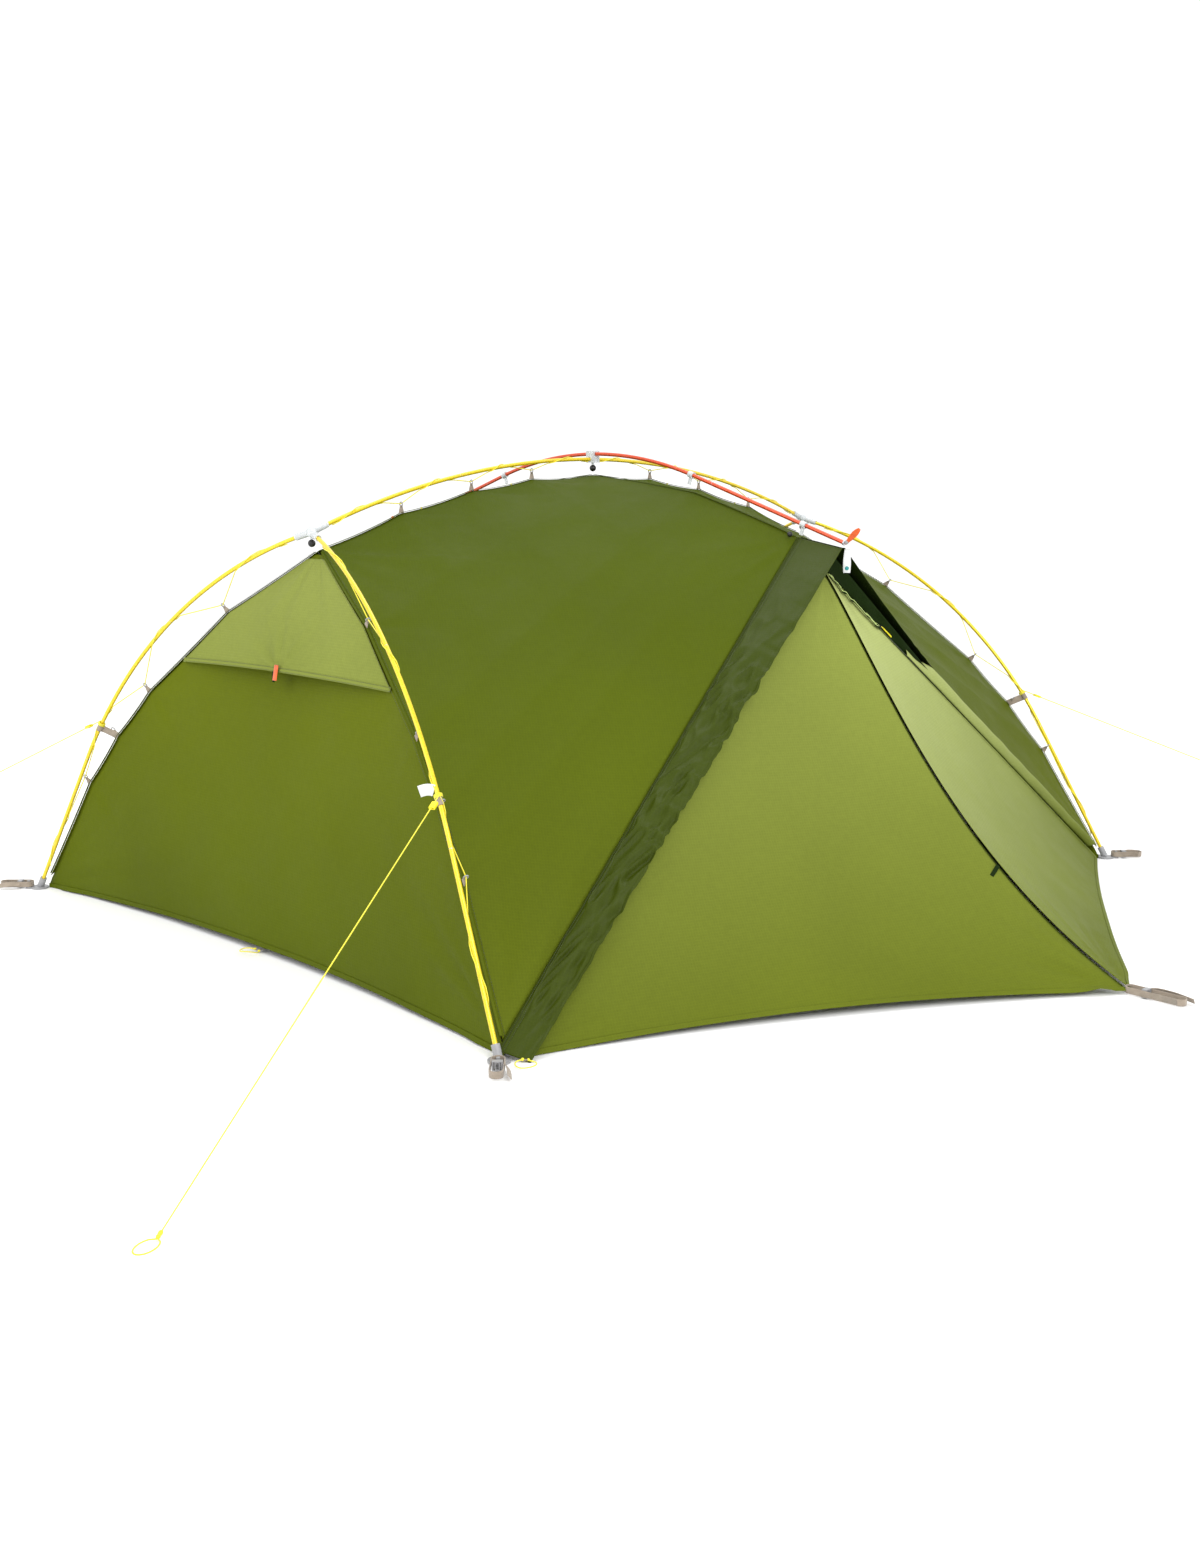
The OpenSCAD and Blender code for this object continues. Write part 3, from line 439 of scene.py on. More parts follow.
def webbing_material(name, colour):
    """Flat woven strap with ribs across its width."""
    material, tree, shader, place = new_material(name, Roughness=0.82, Sheen_Weight=0.3, Sheen_Roughness=0.5)
    uv = node(tree, "UVMap").outputs[0]
    ribs = times(tree, wave(tree, uv, 0.0016, "X"), wave(tree, uv, 0.0030, "Y"))
    patches = spread(tree, noise(tree, place, 60.0), 0.86, 1.12, 0.3, 0.7)
    value = times(tree, spread(tree, ribs, 0.78, 1.12), patches)
    coloured(tree, shader, srgb(*colour), value)
    bumped(tree, shader, ribs, 0.0005, 0.8)
    return material


def pole_material(name, colour, worn):
    """Anodised tube: fine draw lines along it, small scuffs and a clear coat."""
    material, tree, shader, place = new_material(
        name, Metallic=0.35, Coat_Weight=0.5, Coat_Roughness=0.12, Specular_IOR_Level=0.6
    )
    stretched = node(tree, "Mapping", {0: place, 3: (40.0, 40.0, 6.0)}).outputs[0]
    lines = noise(tree, stretched, 6.0, 5.0)
    scuffs = spread(tree, noise(tree, place, 120.0, 4.0), 0.0, 1.0, 0.62, 0.78)
    base = blended(tree, srgb(*colour), srgb(*worn), times(tree, scuffs, 0.5))
    value = spread(tree, lines, 0.93, 1.06, 0.3, 0.7)
    coloured(tree, shader, base, value)
    tree.links.new(spread(tree, lines, 0.22, 0.36, 0.3, 0.7), shader.inputs["Roughness"])
    bumped(tree, shader, lines, 0.0001, 0.3)
    return material


def plastic_material(name, colour, rough, clear=0.0, metal=0.0):
    """Moulded plastic or cast metal with a fine grain and slight cloudiness."""
    material, tree, shader, place = new_material(name, Metallic=metal, Transmission_Weight=clear, IOR=1.49)
    grain = noise(tree, place, 900.0, 2.0)
    clouds = spread(tree, noise(tree, place, 70.0, 4.0), 0.90, 1.08, 0.3, 0.7)
    coloured(tree, shader, srgb(*colour), clouds)
    tree.links.new(spread(tree, grain, rough - 0.06, rough + 0.08), shader.inputs["Roughness"])
    bumped(tree, shader, grain, 0.0001, 0.35)
    return material


def cord_material(name, colour, fleck):
    """Braided cord: two crossing sets of strands with a lighter fleck."""
    material, tree, shader, place = new_material(name, Roughness=0.7, Sheen_Weight=0.25, Sheen_Roughness=0.4)
    braid = calc(tree, "MAXIMUM", wave(tree, place, 0.0022, "DIAGONAL"), wave(tree, place, 0.0017, "Z"))
    base = blended(tree, srgb(*colour), srgb(*fleck), spread(tree, braid, 0.0, 1.0, 0.75, 1.0))
    value = spread(tree, noise(tree, place, 45.0), 0.92, 1.06, 0.3, 0.7)
    coloured(tree, shader, base, value)
    bumped(tree, shader, braid, 0.0003, 0.7)
    return material


def thread_material(name, colour):
    """Sewing thread: a twisted strand, slightly glossy."""
    material, tree, shader, place = new_material(name, Roughness=0.5, Sheen_Weight=0.2)
    twist = wave(tree, place, 0.0008, "DIAGONAL")
    value = spread(tree, twist, 0.85, 1.1)
    coloured(tree, shader, srgb(*colour), value)
    bumped(tree, shader, twist, 0.0002, 0.5)
    return material


def floor_material():
    material, tree, shader, place = new_material("studio_floor", Roughness=0.9)
    value = spread(tree, noise(tree, place, 0.8), 0.985, 1.0)
    coloured(tree, shader, srgb(252, 252, 252), value)
    return material


# The fly panels are one fabric; their different tones are painted light and shade. The hood, main panels and
# doors are lit copies that get lighter towards the top. The roof gets darker towards the top, the end walls
# lighter towards the top, and the storm flap is a darker, shaded copy.
FLY_ROOF = cloth_material("fly_roof", (82, 92, 12), (63, 76, 2))
FLY_END = cloth_material("fly_end", (76, 87, 5), (94, 104, 10))
FLY_HOOD = cloth_material("fly_hood", (98, 110, 26), (126, 135, 64), top=0.88)
FLY_MAIN = cloth_material("fly_main", (88, 98, 20), (124, 134, 60), top=0.8)
FLY_DOOR = cloth_material("fly_door", (88, 98, 22), (162, 172, 106), top=0.8)
FLY_FLAP = cloth_material("fly_flap", (52, 63, 3), (50, 62, 4), rough=0.45, gloss=0.12)
# painted shade: a near-black green for the short flaps beside the doors, as if they lie in the shadow under
# the flap
FLY_PAINTED_SHADE = cloth_material("fly_painted_shade", (24, 36, 4), (24, 36, 4))
FLY_SEAM = cloth_material("fly_seam", (48, 58, 6), (48, 58, 6), weave=0.4)
# painted highlight: a lighter band for the door's zip edge
FLY_EDGE_HIGHLIGHT = cloth_material("fly_edge_highlight", (124, 136, 62), (160, 170, 100), top=0.8, weave=0.4)
# dark cloth is the real colour of the zip tapes and toggle straps; on the zip strips it is painted shade
DARK_CLOTH = cloth_material("dark_cloth", (20, 34, 5), (20, 36, 5))
INNER_CLOTH = cloth_material("inner_cloth", (196, 196, 188), (206, 206, 196), rough=0.7)
INNER_FLOOR = cloth_material("inner_floor_cloth", (34, 48, 14), (40, 54, 18), rough=0.6)
WEBBING = webbing_material("webbing_tan", (160, 146, 130))
ORANGE_WEBBING = webbing_material("webbing_orange", (235, 98, 30))
WHITE_WEBBING = webbing_material("webbing_white", (232, 234, 234))
POLE_YELLOW = pole_material("pole_yellow", (228, 200, 12), (236, 222, 110))
POLE_ORANGE = pole_material("pole_orange", (205, 66, 8), (226, 120, 60))
METAL = plastic_material("plain_metal", (190, 190, 194), 0.34, metal=0.9)
CLEAR = plastic_material("clear_plastic", (226, 230, 232), 0.22, clear=0.35)
BLACK = plastic_material("black_plastic", (20, 20, 20), 0.4)
GREY = plastic_material("grey_plastic", (150, 150, 152), 0.42)
STUD = plastic_material("stud_plastic", (20, 130, 130), 0.35)
YELLOW = plastic_material("yellow_plastic", (238, 224, 30), 0.4)
CORD = cord_material("yellow_cord", (226, 212, 20), (240, 232, 84))
ELASTIC = cord_material("elastic_cord", (24, 24, 24), (60, 60, 60))
PIPING = thread_material("light_piping", (176, 196, 110))
DARK_THREAD = thread_material("dark_thread", (40, 52, 8))

# ---------- meshes ----------


def settled(piece, material, body, replaces):
    """A piece with its material, what it rides on, and the frame's node it stands for."""
    piece.data.materials.append(material)
    bpy.context.scene.collection.objects.link(piece)
    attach(piece, body)
    if replaces:
        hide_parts(replaces)
    return piece


def add_mesh(name, verts, faces, material, body="tent", replaces=None, uv=None, smooth=True):
    mesh = bpy.data.meshes.new(name)
    mesh.from_pydata(np.asarray(verts, float).tolist(), [], faces)
    layer = mesh.uv_layers.new(name="UVMap")
    if uv is not None:
        corner = np.zeros(len(mesh.loops), int)
        mesh.loops.foreach_get("vertex_index", corner)
        layer.data.foreach_set("uv", np.asarray(uv, np.float32)[corner].ravel())
    mesh.polygons.foreach_set("use_smooth", [smooth] * len(mesh.polygons))
    mesh.update()
    return settled(bpy.data.objects.new(name, mesh), material, body, replaces)


def grid_faces(n, m, close_u=False):
    index = np.arange(n * m).reshape(n, m)
    if close_u:
        index = np.vstack([index, index[:1]])
    quads = np.stack([index[:-1, :-1], index[1:, :-1], index[1:, 1:], index[:-1, 1:]], -1)
    return quads.reshape(-1, 4).tolist()


def laid_out(points):
    """A panel's own flat coordinates in metres: across and up its middle plane."""
    normal = unit(outward(points).mean((0, 1)))
    across = unit(np.cross(UP, normal) + vec(1e-6, 0, 0))
    up = np.cross(normal, across)
    return np.stack([points @ across, points @ up], -1)


def add_cloth(name, points, shape, material, body="tent", replaces=None):
    """One sheet of cloth from a grid; shape is the same grid without its folds, which is its cut."""
    n, m = points.shape[:2]
    uv = laid_out(shape).reshape(-1, 2)
    piece = add_mesh(name, points.reshape(-1, 3), grid_faces(n, m), material, body, replaces=replaces, uv=uv)
    shell = piece.modifiers.new("thickness", "SOLIDIFY")
    shell.thickness = CLOTH_THICK
    shell.offset = 0.0


def path_frames(path, normal):
    path = np.asarray(path, float)
    along = unit(np.gradient(path, axis=0))
    normal = np.broadcast_to(np.asarray(normal, float), path.shape)
    side = unit(np.cross(normal, along))
    return along, side, unit(np.cross(along, side))


def run_lengths(path):
    return np.concatenate([[0], np.cumsum(np.linalg.norm(np.diff(path, axis=0), axis=1))])


def band_mesh(path, normal, width, shift=0.0, lift=0.0006, thick=0.0006):
    path = np.asarray(path, float)
    side, up = path_frames(path, normal)[1:]
    across = (-0.5, -0.47, -0.25, 0.0, 0.25, 0.47, 0.5)
    crown = (0.0, 0.5, 0.5, 0.5, 0.5, 0.5, 0.0)
    ring = [(a, c) for a, c in zip(across, crown)]
    ring += [(a, -c) for a, c in zip(across[-2:0:-1], crown[-2:0:-1])]
    width = np.broadcast_to(np.asarray(width, float), len(path))[:, None]
    layers = [path + side * (shift + a * width) + up * (lift + c * thick) for a, c in ring]
    verts = np.stack(layers, 0)
    n, m = verts.shape[:2]
    lengths = np.broadcast_to(run_lengths(path), (n, m))
    uv = np.stack([lengths, np.array([[a] for a, _ in ring]) * width.T], -1)
    faces = grid_faces(n, m, close_u=True)
    faces.append([k * m for k in range(n)])
    faces.append([k * m + m - 1 for k in range(n)][::-1])
    return verts.reshape(-1, 3), faces, uv.reshape(-1, 2)


def add_bands(name, bands, material, body="tent", replaces=None):
    """Flat strips with rounded edges, each along its own path, in one piece: hems, tapes or straps."""
    verts, faces, uv = [], [], []
    base = 0
    for band in bands:
        points, quads, flat = band_mesh(**band)
        faces += [[base + k for k in face] for face in quads]
        base += len(points)
        verts.append(points)
        uv.append(flat)
    add_mesh(name, np.concatenate(verts), faces, material, body, replaces, np.concatenate(uv))


def add_band(name, path, normal, width, material, body="tent", slot=None, **shape):
    add_bands(name, [dict(path=path, normal=normal, width=width, **shape)], material, body)


def strap(path, normal, width, thick):
    """A band whose middle lies on its path."""
    return dict(path=path, normal=normal, width=width, lift=0.0, thick=thick)


def resampled(path, step):
    lengths = run_lengths(path)
    count = max(int(lengths[-1] / step), 2)
    at = np.linspace(0, lengths[-1], count + 1)
    return np.stack([np.interp(at, lengths, path[:, k]) for k in range(3)], -1)


def add_stitches(name, path, normal, shifts, pitch=0.0042, size=0.0010, lift=0.0020):
    """Rows of separate stitches beside a path: each is a small lozenge that dips at both ends."""
    path = np.asarray(path, float)
    normal = np.broadcast_to(np.asarray(normal, float), path.shape)
    centres = resampled(path, pitch)
    lengths = run_lengths(path)
    at = run_lengths(centres)
    normals = np.stack([np.interp(at, lengths, normal[:, k]) for k in range(3)], -1)
    along, side, up = path_frames(centres, normals)
    verts, faces = [], []
    shape = [(-0.5, 0, -0.4), (-0.3, 0.5, 0), (-0.3, -0.5, 0), (-0.25, 0, 0.6)]
    shape += [(0.25, 0, 0.6), (0.3, 0.5, 0), (0.3, -0.5, 0), (0.5, 0, -0.4)]
    tris = [(0, 1, 3), (0, 3, 2), (1, 5, 4, 3), (3, 4, 6, 2), (5, 7, 4), (4, 7, 6), (0, 2, 6, 7, 5, 1)]
    for shift in shifts:
        row = centres + side * shift + up * lift
        for p, a, s, n in zip(row, along, side, up):
            base = len(verts)
            verts += [p + a * x * pitch * 0.8 + s * y * size + n * z * size for x, y, z in shape]
            faces += [tuple(base + k for k in f) for f in tris]
    add_mesh(name, verts, faces, DARK_THREAD, smooth=False)


def add_curve(name, points, diameter, material, body="tent", replaces=None, closed=False):
    data = bpy.data.curves.new(name, "CURVE")
    data.dimensions = "3D"
    data.bevel_depth = diameter / 2
    data.bevel_resolution = 4
    data.use_fill_caps = True
    spline = data.splines.new("POLY")
    spline.points.add(len(points) - 1)
    for target, p in zip(spline.points, points):
        target.co = (*(float(x) for x in p), 1.0)
    spline.use_cyclic_u = closed
    return settled(bpy.data.objects.new(name, data), material, body, replaces)


def add_lathe(name, at, axis, profile, material, sides=28):
    """A turned shape: profile holds (distance along the axis, radius) pairs."""
    axis = unit(np.asarray(axis, float))
    helper = UP if abs(axis[2]) < 0.9 else vec(1, 0, 0)
    x = unit(np.cross(helper, axis))
    y = np.cross(axis, x)
    turn = np.linspace(0, 2 * math.pi, sides, endpoint=False)
    rings = [
        at + axis * d + r * (np.cos(turn)[:, None] * x + np.sin(turn)[:, None] * y)
        for d, r in profile
    ]
    verts = np.stack(rings, 1)
    faces = grid_faces(sides, len(profile), close_u=True)
    m = len(profile)
    faces.append([k * m for k in range(sides)][::-1])
    faces.append([k * m + m - 1 for k in range(sides)])
    piece = add_mesh(name, verts.reshape(-1, 3), faces, material)
    bevelled = piece.modifiers.new("edges", "BEVEL")
    bevelled.width = 0.0004
    bevelled.segments = 2
    bevelled.limit_method = "ANGLE"
    return piece


# ---------- guy lines ----------


GUY_KNOT = [(0, 0.0016), (0.002, 0.0034), (0.006, 0.0040)]
GUY_KNOT += [(0.009, 0.0032), (0.012, 0.0039), (0.016, 0.0018)]


def guy_from(sx, sy):
    return leg_pole(sx, sy, GUY_AT, GUY_OFF)[0]


def guy_route(a, b):
    """Straight from the pole to the ground, then round a loop for a peg."""
    along = unit(vec(b[0] - a[0], b[1] - a[1], 0))
    side = vec(-along[1], along[0], 0)
    centre = b + along * 0.026
    line = [mix(a, b, t) for t in shares(13)]
    for degrees in range(40, 321, 20):
        f = math.radians(degrees)
        line.append(centre - along * 0.026 * math.cos(f) - side * 0.016 * math.sin(f))
    line.append(b + side * 0.004 + along * 0.001)
    return np.array(line)


def add_guy_wrap(name, sx, sy):
    """Turns of the line round the pole where it is tied on."""
    centre, along = leg_pole(sx, sy, GUY_AT)
    x = unit(guy_from(sx, sy) - centre)
    y = np.cross(along, x)
    turns = shares(120, -1.5, 1.5)
    angle = 2 * math.pi * turns[:, None]
    points = centre + along * (turns * 0.0028)[:, None] + 0.0083 * (np.cos(angle) * x + np.sin(angle) * y)
    return add_curve("guy_wrap_" + name, points, LINE_D, CORD)


def add_guy_lines():
    for name, (sx, sy, end) in GUY_ENDS.items():
        start = guy_from(sx, sy)
        route = guy_route(start, end)
        line = add_curve("guy_cord_" + name, route, LINE_D, CORD, replaces="guy_line_" + name)
        along = unit(end - start)
        knot = add_lathe("guy_knot_" + name, end - along * 0.016, along, GUY_KNOT, CORD)
        add_guy_wrap(name, sx, sy)


add_guy_lines()

# ---------- carried-over hard parts ----------


def paint(material, *names):
    for name in names:
        piece = nodes[name]
        if not piece.data.materials:
            piece.data.materials.append(material)
        for place in piece.material_slots:
            place.material = material
        piece.data.polygons.foreach_set("use_smooth", [True] * len(piece.data.polygons))


paint(POLE_YELLOW, *(f"leg_{name}_{half}" for name, _, _ in QUARTERS for half in ("lower", "upper")))
paint(POLE_YELLOW, "ridge_pole_left", "ridge_pole_right")
paint(POLE_ORANGE, "cross_pole_front", "cross_pole_rear")
paint(METAL, "pole_ferrules", "pole_tips")
paint(ELASTIC, "shock_cords")
paint(CLEAR, "hub_left", "hub_right", "centre_clip", "cross_pole_clips")
paint(BLACK, "canopy_balls", "zip_slider_front", "zip_slider_rear")
paint(GREY, "corner_sockets", "ladder_locks", "tab_rings")
paint(CORD, "lacing_cords", "inner_hangers")
paint(YELLOW, *("adjuster_" + name for name in GUY_ENDS))


# ---------- fly panels ----------


def add_roof():
    for index, (name, sx, sy) in enumerate(QUARTERS):
        u, v = params(104, 104, (0.002, 0.998), (0.002, 0.998))
        shape = roof_points(sx, sy, u, v)
        hub, foot = flip(FLY_HUB, sx, sy), flip(FLY_FOOT, sx, sy)
        clip = flip(CLIP_POINT, 1, -sy)
        lift = rays(shape, hub, 0.34, 0.0045, 5.0, 11 + index)
        lift += rays(shape, foot, 0.55, 0.0050, 9.0, 21 + index)
        lift += rays(shape, clip, 0.30, 0.0035, 5.0, 31 + index)
        lift += rays(shape, FLY_TOP, 0.25, 0.0025, 4.0, 41 + index)
        for t in LEG_TABS:
            lift += rays(shape, leg_seam(sx, sy, t), 0.12, 0.0040, 4.0, 51 + index)
        for t in (0.27, 0.52, 0.75):
            lift += rays(shape, ridge_seam(sx, np.array(t)), 0.11, 0.0035, 4.0, 61 + index)
        lift += 0.0016 * noise2(shape[..., 0] * 5 + 9, shape[..., 1] * 5 + 9, 71 + index)
        points = shape + outward(shape) * (lift * held_edges(u, v))[..., None]
        add_cloth("roof_cloth_" + name, points, shape, FLY_ROOF, replaces="roof_" + name)


def add_end_walls():
    for index, (side, sx) in enumerate(SIDES):
        u, v = params(120, 120, (0.003, 0.997), (0.012, 1.016))
        shape = end_points(sx, u, v)
        lift = -0.020 * np.sin(math.pi * u) * np.sin(math.pi * np.clip(v, 0, 1)) ** 1.2
        for sy in (-1, 1):
            lift += rays(shape, flip(FLY_FOOT, sx, sy), 0.50, 0.0055, 8.0, 81 + index + sy)
            for t in LEG_TABS:
                lift += rays(shape, leg_seam(sx, sy, t), 0.13, 0.0040, 4.0, 91 + index + sy)
        lift += rays(shape, flip(FLY_HUB, sx, 1), 0.3, 0.004, 5.0, 101 + index)
        lift += 0.002 * noise2(shape[..., 1] * 5 + 9, shape[..., 2] * 5 + 9, 111 + index)
        points = shape + outward(shape) * (lift * held_edges(u, v, "uUv"))[..., None]
        name = "end_cloth_" + side
        add_cloth(name, points, shape, FLY_END, replaces="end_wall_" + side)
        normal = outward(points)[:, -1]
        add_band(name + "_hem", points[:, -1], normal, 0.012, FLY_END, lift=0.0012)


def hood_points(sx, u, v):
    stand = 0.004 + 0.060 * u * (1 - u) * (v / HOOD_END) ** 2
    return end_points(sx, u, v) + vec(sx * 0.8, 0, 0.6) * stand[..., None]


def add_hoods():
    for index, (side, sx) in enumerate(SIDES):
        u, v = params(80, 60, (0.012, 0.988), (0.03, HOOD_END))
        shape = hood_points(sx, u, v)
        middle = hood_points(sx, np.array(0.5), np.array(HOOD_END))
        lift = rays(shape, middle, 0.16, 0.005, 5.0, 121 + index)
        lift += rays(shape, flip(FLY_HUB, sx, 1), 0.3, 0.004, 5.0, 131 + index)
        points = shape + outward(shape) * (lift * held_edges(u, v, "uUv"))[..., None]
        name = "vent_hood_" + side
        add_cloth(name, points, shape, FLY_HOOD, replaces="vent_hoods")
        hem = points[:, -1]
        normal = outward(points)[:, -1]
        add_band(name + "_hem", hem, normal, 0.012, FLY_HOOD, lift=0.0012)
        add_stitches(name + "_stitches", hem, normal, (0.004, -0.004))
        tab = [middle + vec(sx * (0.004 + 0.0012 * k), 0, 0.012 - 0.006 * k) for k in range(7)]
        add_band(name + "_tab", tab, vec(sx, 0, 0.3), 0.016, ORANGE_WEBBING, thick=0.0014)
        ribbon = [middle + vec(sx * 0.006, 0.012, -0.004 - 0.005 * k) for k in range(6)]
        add_band(name + "_toggle_strap", ribbon, vec(sx, 0, 0.3), 0.008, DARK_CLOTH, thick=0.0012)


def turned(points, sign):
    return points * vec(sign, sign, 1)


# The toggle for a rolled-back door is sewn on at this step along the seam.
TOGGLE_AT = 74


def vestibule_folds(shape, u, v, seed):
    """Pleats from the stake point, and gentler ones from the peak."""
    fold = rays(shape, STAKE, 0.30, 0.0085, 12.0, seed)
    fold += rays(shape, DOOR_PEAK, 0.34, 0.0040, 6.0, seed + 1)
    fold += 0.0022 * noise2(shape[..., 0] * 4 + 9, shape[..., 2] * 4 + 9, seed + 2)
    return fold - 0.014 * np.sin(math.pi * u) * np.sin(math.pi * v)


def add_panel(kind, end, sign, shape, lift, cloth, body, hem_lift):
    """One panel of a vestibule with its hem; gives its points and their normals."""
    points = shape + outward(shape) * lift[..., None]
    normals = turned(outward(points), sign)
    points = turned(points, sign)
    name = f"{kind}_cloth_{end}"
    add_cloth(name, points, turned(shape, sign), cloth, body, f"vestibule_{end}_{kind}")
    add_band(name + "_hem", points[:, -1], normals[:, -1], 0.012, cloth, body, lift=hem_lift)
    return points, normals


def add_main_panel(index, end, sign):
    u, v = params(110, 110, (0.0, 0.997), (0.006, 1.008))
    shape = fan_points(DOOR_PEAK - SEAM_GAP, MAIN_FOOT, STAKE - SEAM_GAP, u, v, u, MAIN_HEM_BOW)
    lift = vestibule_folds(shape, u, v, 141 + index)
    lift += rays(shape, MAIN_FOOT, 0.3, 0.004, 7.0, 151 + index)
    lift *= held_edges(u, v, "uUv")
    points, normals = add_panel("main", end, sign, shape, lift, FLY_MAIN, "tent", 0.0012)
    seam, normal = points[-1], normals[-1]
    name = f"main_cloth_{end}"
    add_band(name + "_seam", seam, normal, 0.0020, FLY_SEAM, slot="fly_vestibule", lift=0.0014)
    start, out = seam[TOGGLE_AT] + normal[TOGGLE_AT] * 0.004, normal[TOGGLE_AT]
    toggle = [start + vec(-0.004 * k * sign, 0, -0.003 * k) for k in range(9)]
    add_band(name + "_toggle", toggle, out, 0.010, DARK_CLOTH, thick=0.0016)


def add_door_panel(index, end, sign):
    u, v = params(110, 110, (0.0, 1.0), (0.006, 1.008))
    shape = fan_points(DOOR_PEAK + SEAM_GAP, STAKE + SEAM_GAP, DOOR_FOOT, u, v, 1 - u, DOOR_HEM_BOW)
    lift = vestibule_folds(shape, u, v, 161 + index) * held_edges(u, v, "uUv")
    body = end + "_door"
    points, normals = add_panel("door", end, sign, shape, lift, FLY_DOOR, body, 0.0010)
    # painted highlight band along the door's zip edge
    add_band(f"door_cloth_{end}_zip_edge", points[-1], normals[-1], 0.010, FLY_EDGE_HIGHLIGHT, body, lift=0.0012)


def add_vestibules():
    for index, (end, sign) in enumerate(ENDS):
        add_main_panel(index, end, sign)
        add_door_panel(index, end, sign)


def add_flap(name, sign, sx, span, seed, cloth):
    """Sewn down along u=0 and loose along u=1, with slanting creases; span is how far down it runs."""
    u, v = params(30, int(300 * (span[1] - span[0])), (0.02, 1.0), span)
    shape = flap_points(sx, u, v)
    along, across = v * 1.45, u * 0.10
    slant = along * 0.62 + across * 1.5
    creases = np.abs(noise2(slant * 34, along * 9 - across * 30, seed))
    puckers = noise1(along * 62, seed + 3) * u**2
    lift = 0.011 * np.sin(math.pi * u) ** 0.8 * (0.7 + 0.3 * noise1(along * 9, seed + 5))
    loose = np.clip((v - 0.12) / 0.25, 0.12, 1)
    lift += 0.014 * (0.5 - creases) * np.clip(u * 5, 0, 1) * loose
    lift += 0.006 * puckers * loose
    lift *= np.clip(v * 12, 0, 1) * np.clip((1 - v) * 9, 0.15, 1)
    lift *= 1.0 if sx < 0 else 0.25 * flap_share(sx, v)
    points = turned(shape + outward(shape) * (lift + 0.002)[..., None], sign)
    add_cloth(name, points, turned(shape, sign), cloth, replaces="storm_flaps")
    normals = outward(points)
    add_band(name + "_edge", points[-1], normals[-1], 0.006, cloth, lift=0.0008)
    add_band(name + "_seam", points[1], normals[1], 0.006, FLY_SEAM, lift=0.0012)
    if sx < 0:
        add_stitches(name + "_stitches", points[2], normals[1], (0.0, 0.007), lift=0.0022)


def add_flaps():
    """Over each main panel a full flap; beside each door one that narrows to a thin facing."""
    for index, (end, sign) in enumerate(ENDS):
        seed = 171 + index * 10
        add_flap(f"storm_flap_{end}_full", sign, -1, (0.002, 1.012), seed, FLY_FLAP)
        # the short flap takes the painted-shade tone
        add_flap(f"storm_flap_{end}_short", sign, 1, (0.002, FLAP_END), seed + 2, FLY_PAINTED_SHADE)
        add_flap(f"flap_facing_{end}", sign, 1, (FLAP_END, 0.985), seed + 4, FLY_ROOF)


def add_zip_covers():
    """Below the open top of each zip the door's cloth reaches over it, up to the roof's edge."""
    for index, (end, sign) in enumerate(ENDS):
        u, v = params(16, 160, (0.0, 1.0), (COVER_FROM, 0.965))
        door_edge = mix(DOOR_PEAK + SEAM_GAP, DOOR_FOOT, v) + ZIP_OUT * 0.0045
        roof_edge = flap_points(1, np.full_like(u, 0.22) / flap_share(1, v), v)
        roof_edge += unit(vec(0.6, -1.0, -0.1)) * 0.004
        reach = np.clip((v - COVER_FROM) / 0.10, 0.35, 1)
        shape = mix(door_edge, roof_edge, u * reach)
        lift = (0.012 + 0.002 * noise1(v * 30, 231 + index)) * np.sin(math.pi * u) ** 0.6 * reach
        points = turned(shape + outward(shape) * lift[..., None], sign)
        name = f"zip_cover_{end}"
        add_cloth(name, points, turned(shape, sign), FLY_DOOR, body=end + "_door")


def add_zips():
    for index, (end, sign) in enumerate(ENDS):
        u, v = params(8, 160, (0.0, 1.0), (0.0, 0.96))
        shape = strip_points(u, v)
        lift = 0.002 * noise1(v * 60, 191 + index) * np.sin(math.pi * u)
        points = turned(shape + outward(shape) * lift[..., None], sign)
        name = f"zip_strip_{end}"
        # painted shade: the strip beside the zip gets the dark cloth, as if shadowed by the flap
        add_cloth(name, points, turned(shape, sign), DARK_CLOTH, replaces="zip_strips")
        out = turned(ZIP_OUT, sign)
        closed = shares(150, SLIDER_AT, 0.955)
        coil = turned(zip_points(closed, 0.0005, 0.0022), sign)
        add_band(f"zip_tape_{end}", coil, out, 0.012, DARK_CLOTH, lift=-0.0008)
        add_curve(f"zip_coil_{end}", coil, 0.0026, DARK_THREAD)
        opened = shares(70, 0.012, SLIDER_AT)
        gap = 0.013 * np.sin(math.pi * (opened - 0.012) / (SLIDER_AT - 0.012)) ** 0.6
        for k, way in enumerate((-1, 1)):
            ripple = 0.0030 * noise1(shares(70) * 13, 211 + k)
            side = way * (0.0015 + gap) + ripple
            edge = turned(zip_points(opened, side, 0.004 + 0.6 * ripple), sign)
            add_curve(f"zip_piping_{end}_{k}", edge, 0.0030, PIPING)
            back = turned(zip_points(opened, side + way * 0.005, 0.003 + 0.6 * ripple), sign)
            add_band(f"zip_side_{end}_{k}", back, out, 0.009, DARK_CLOTH)


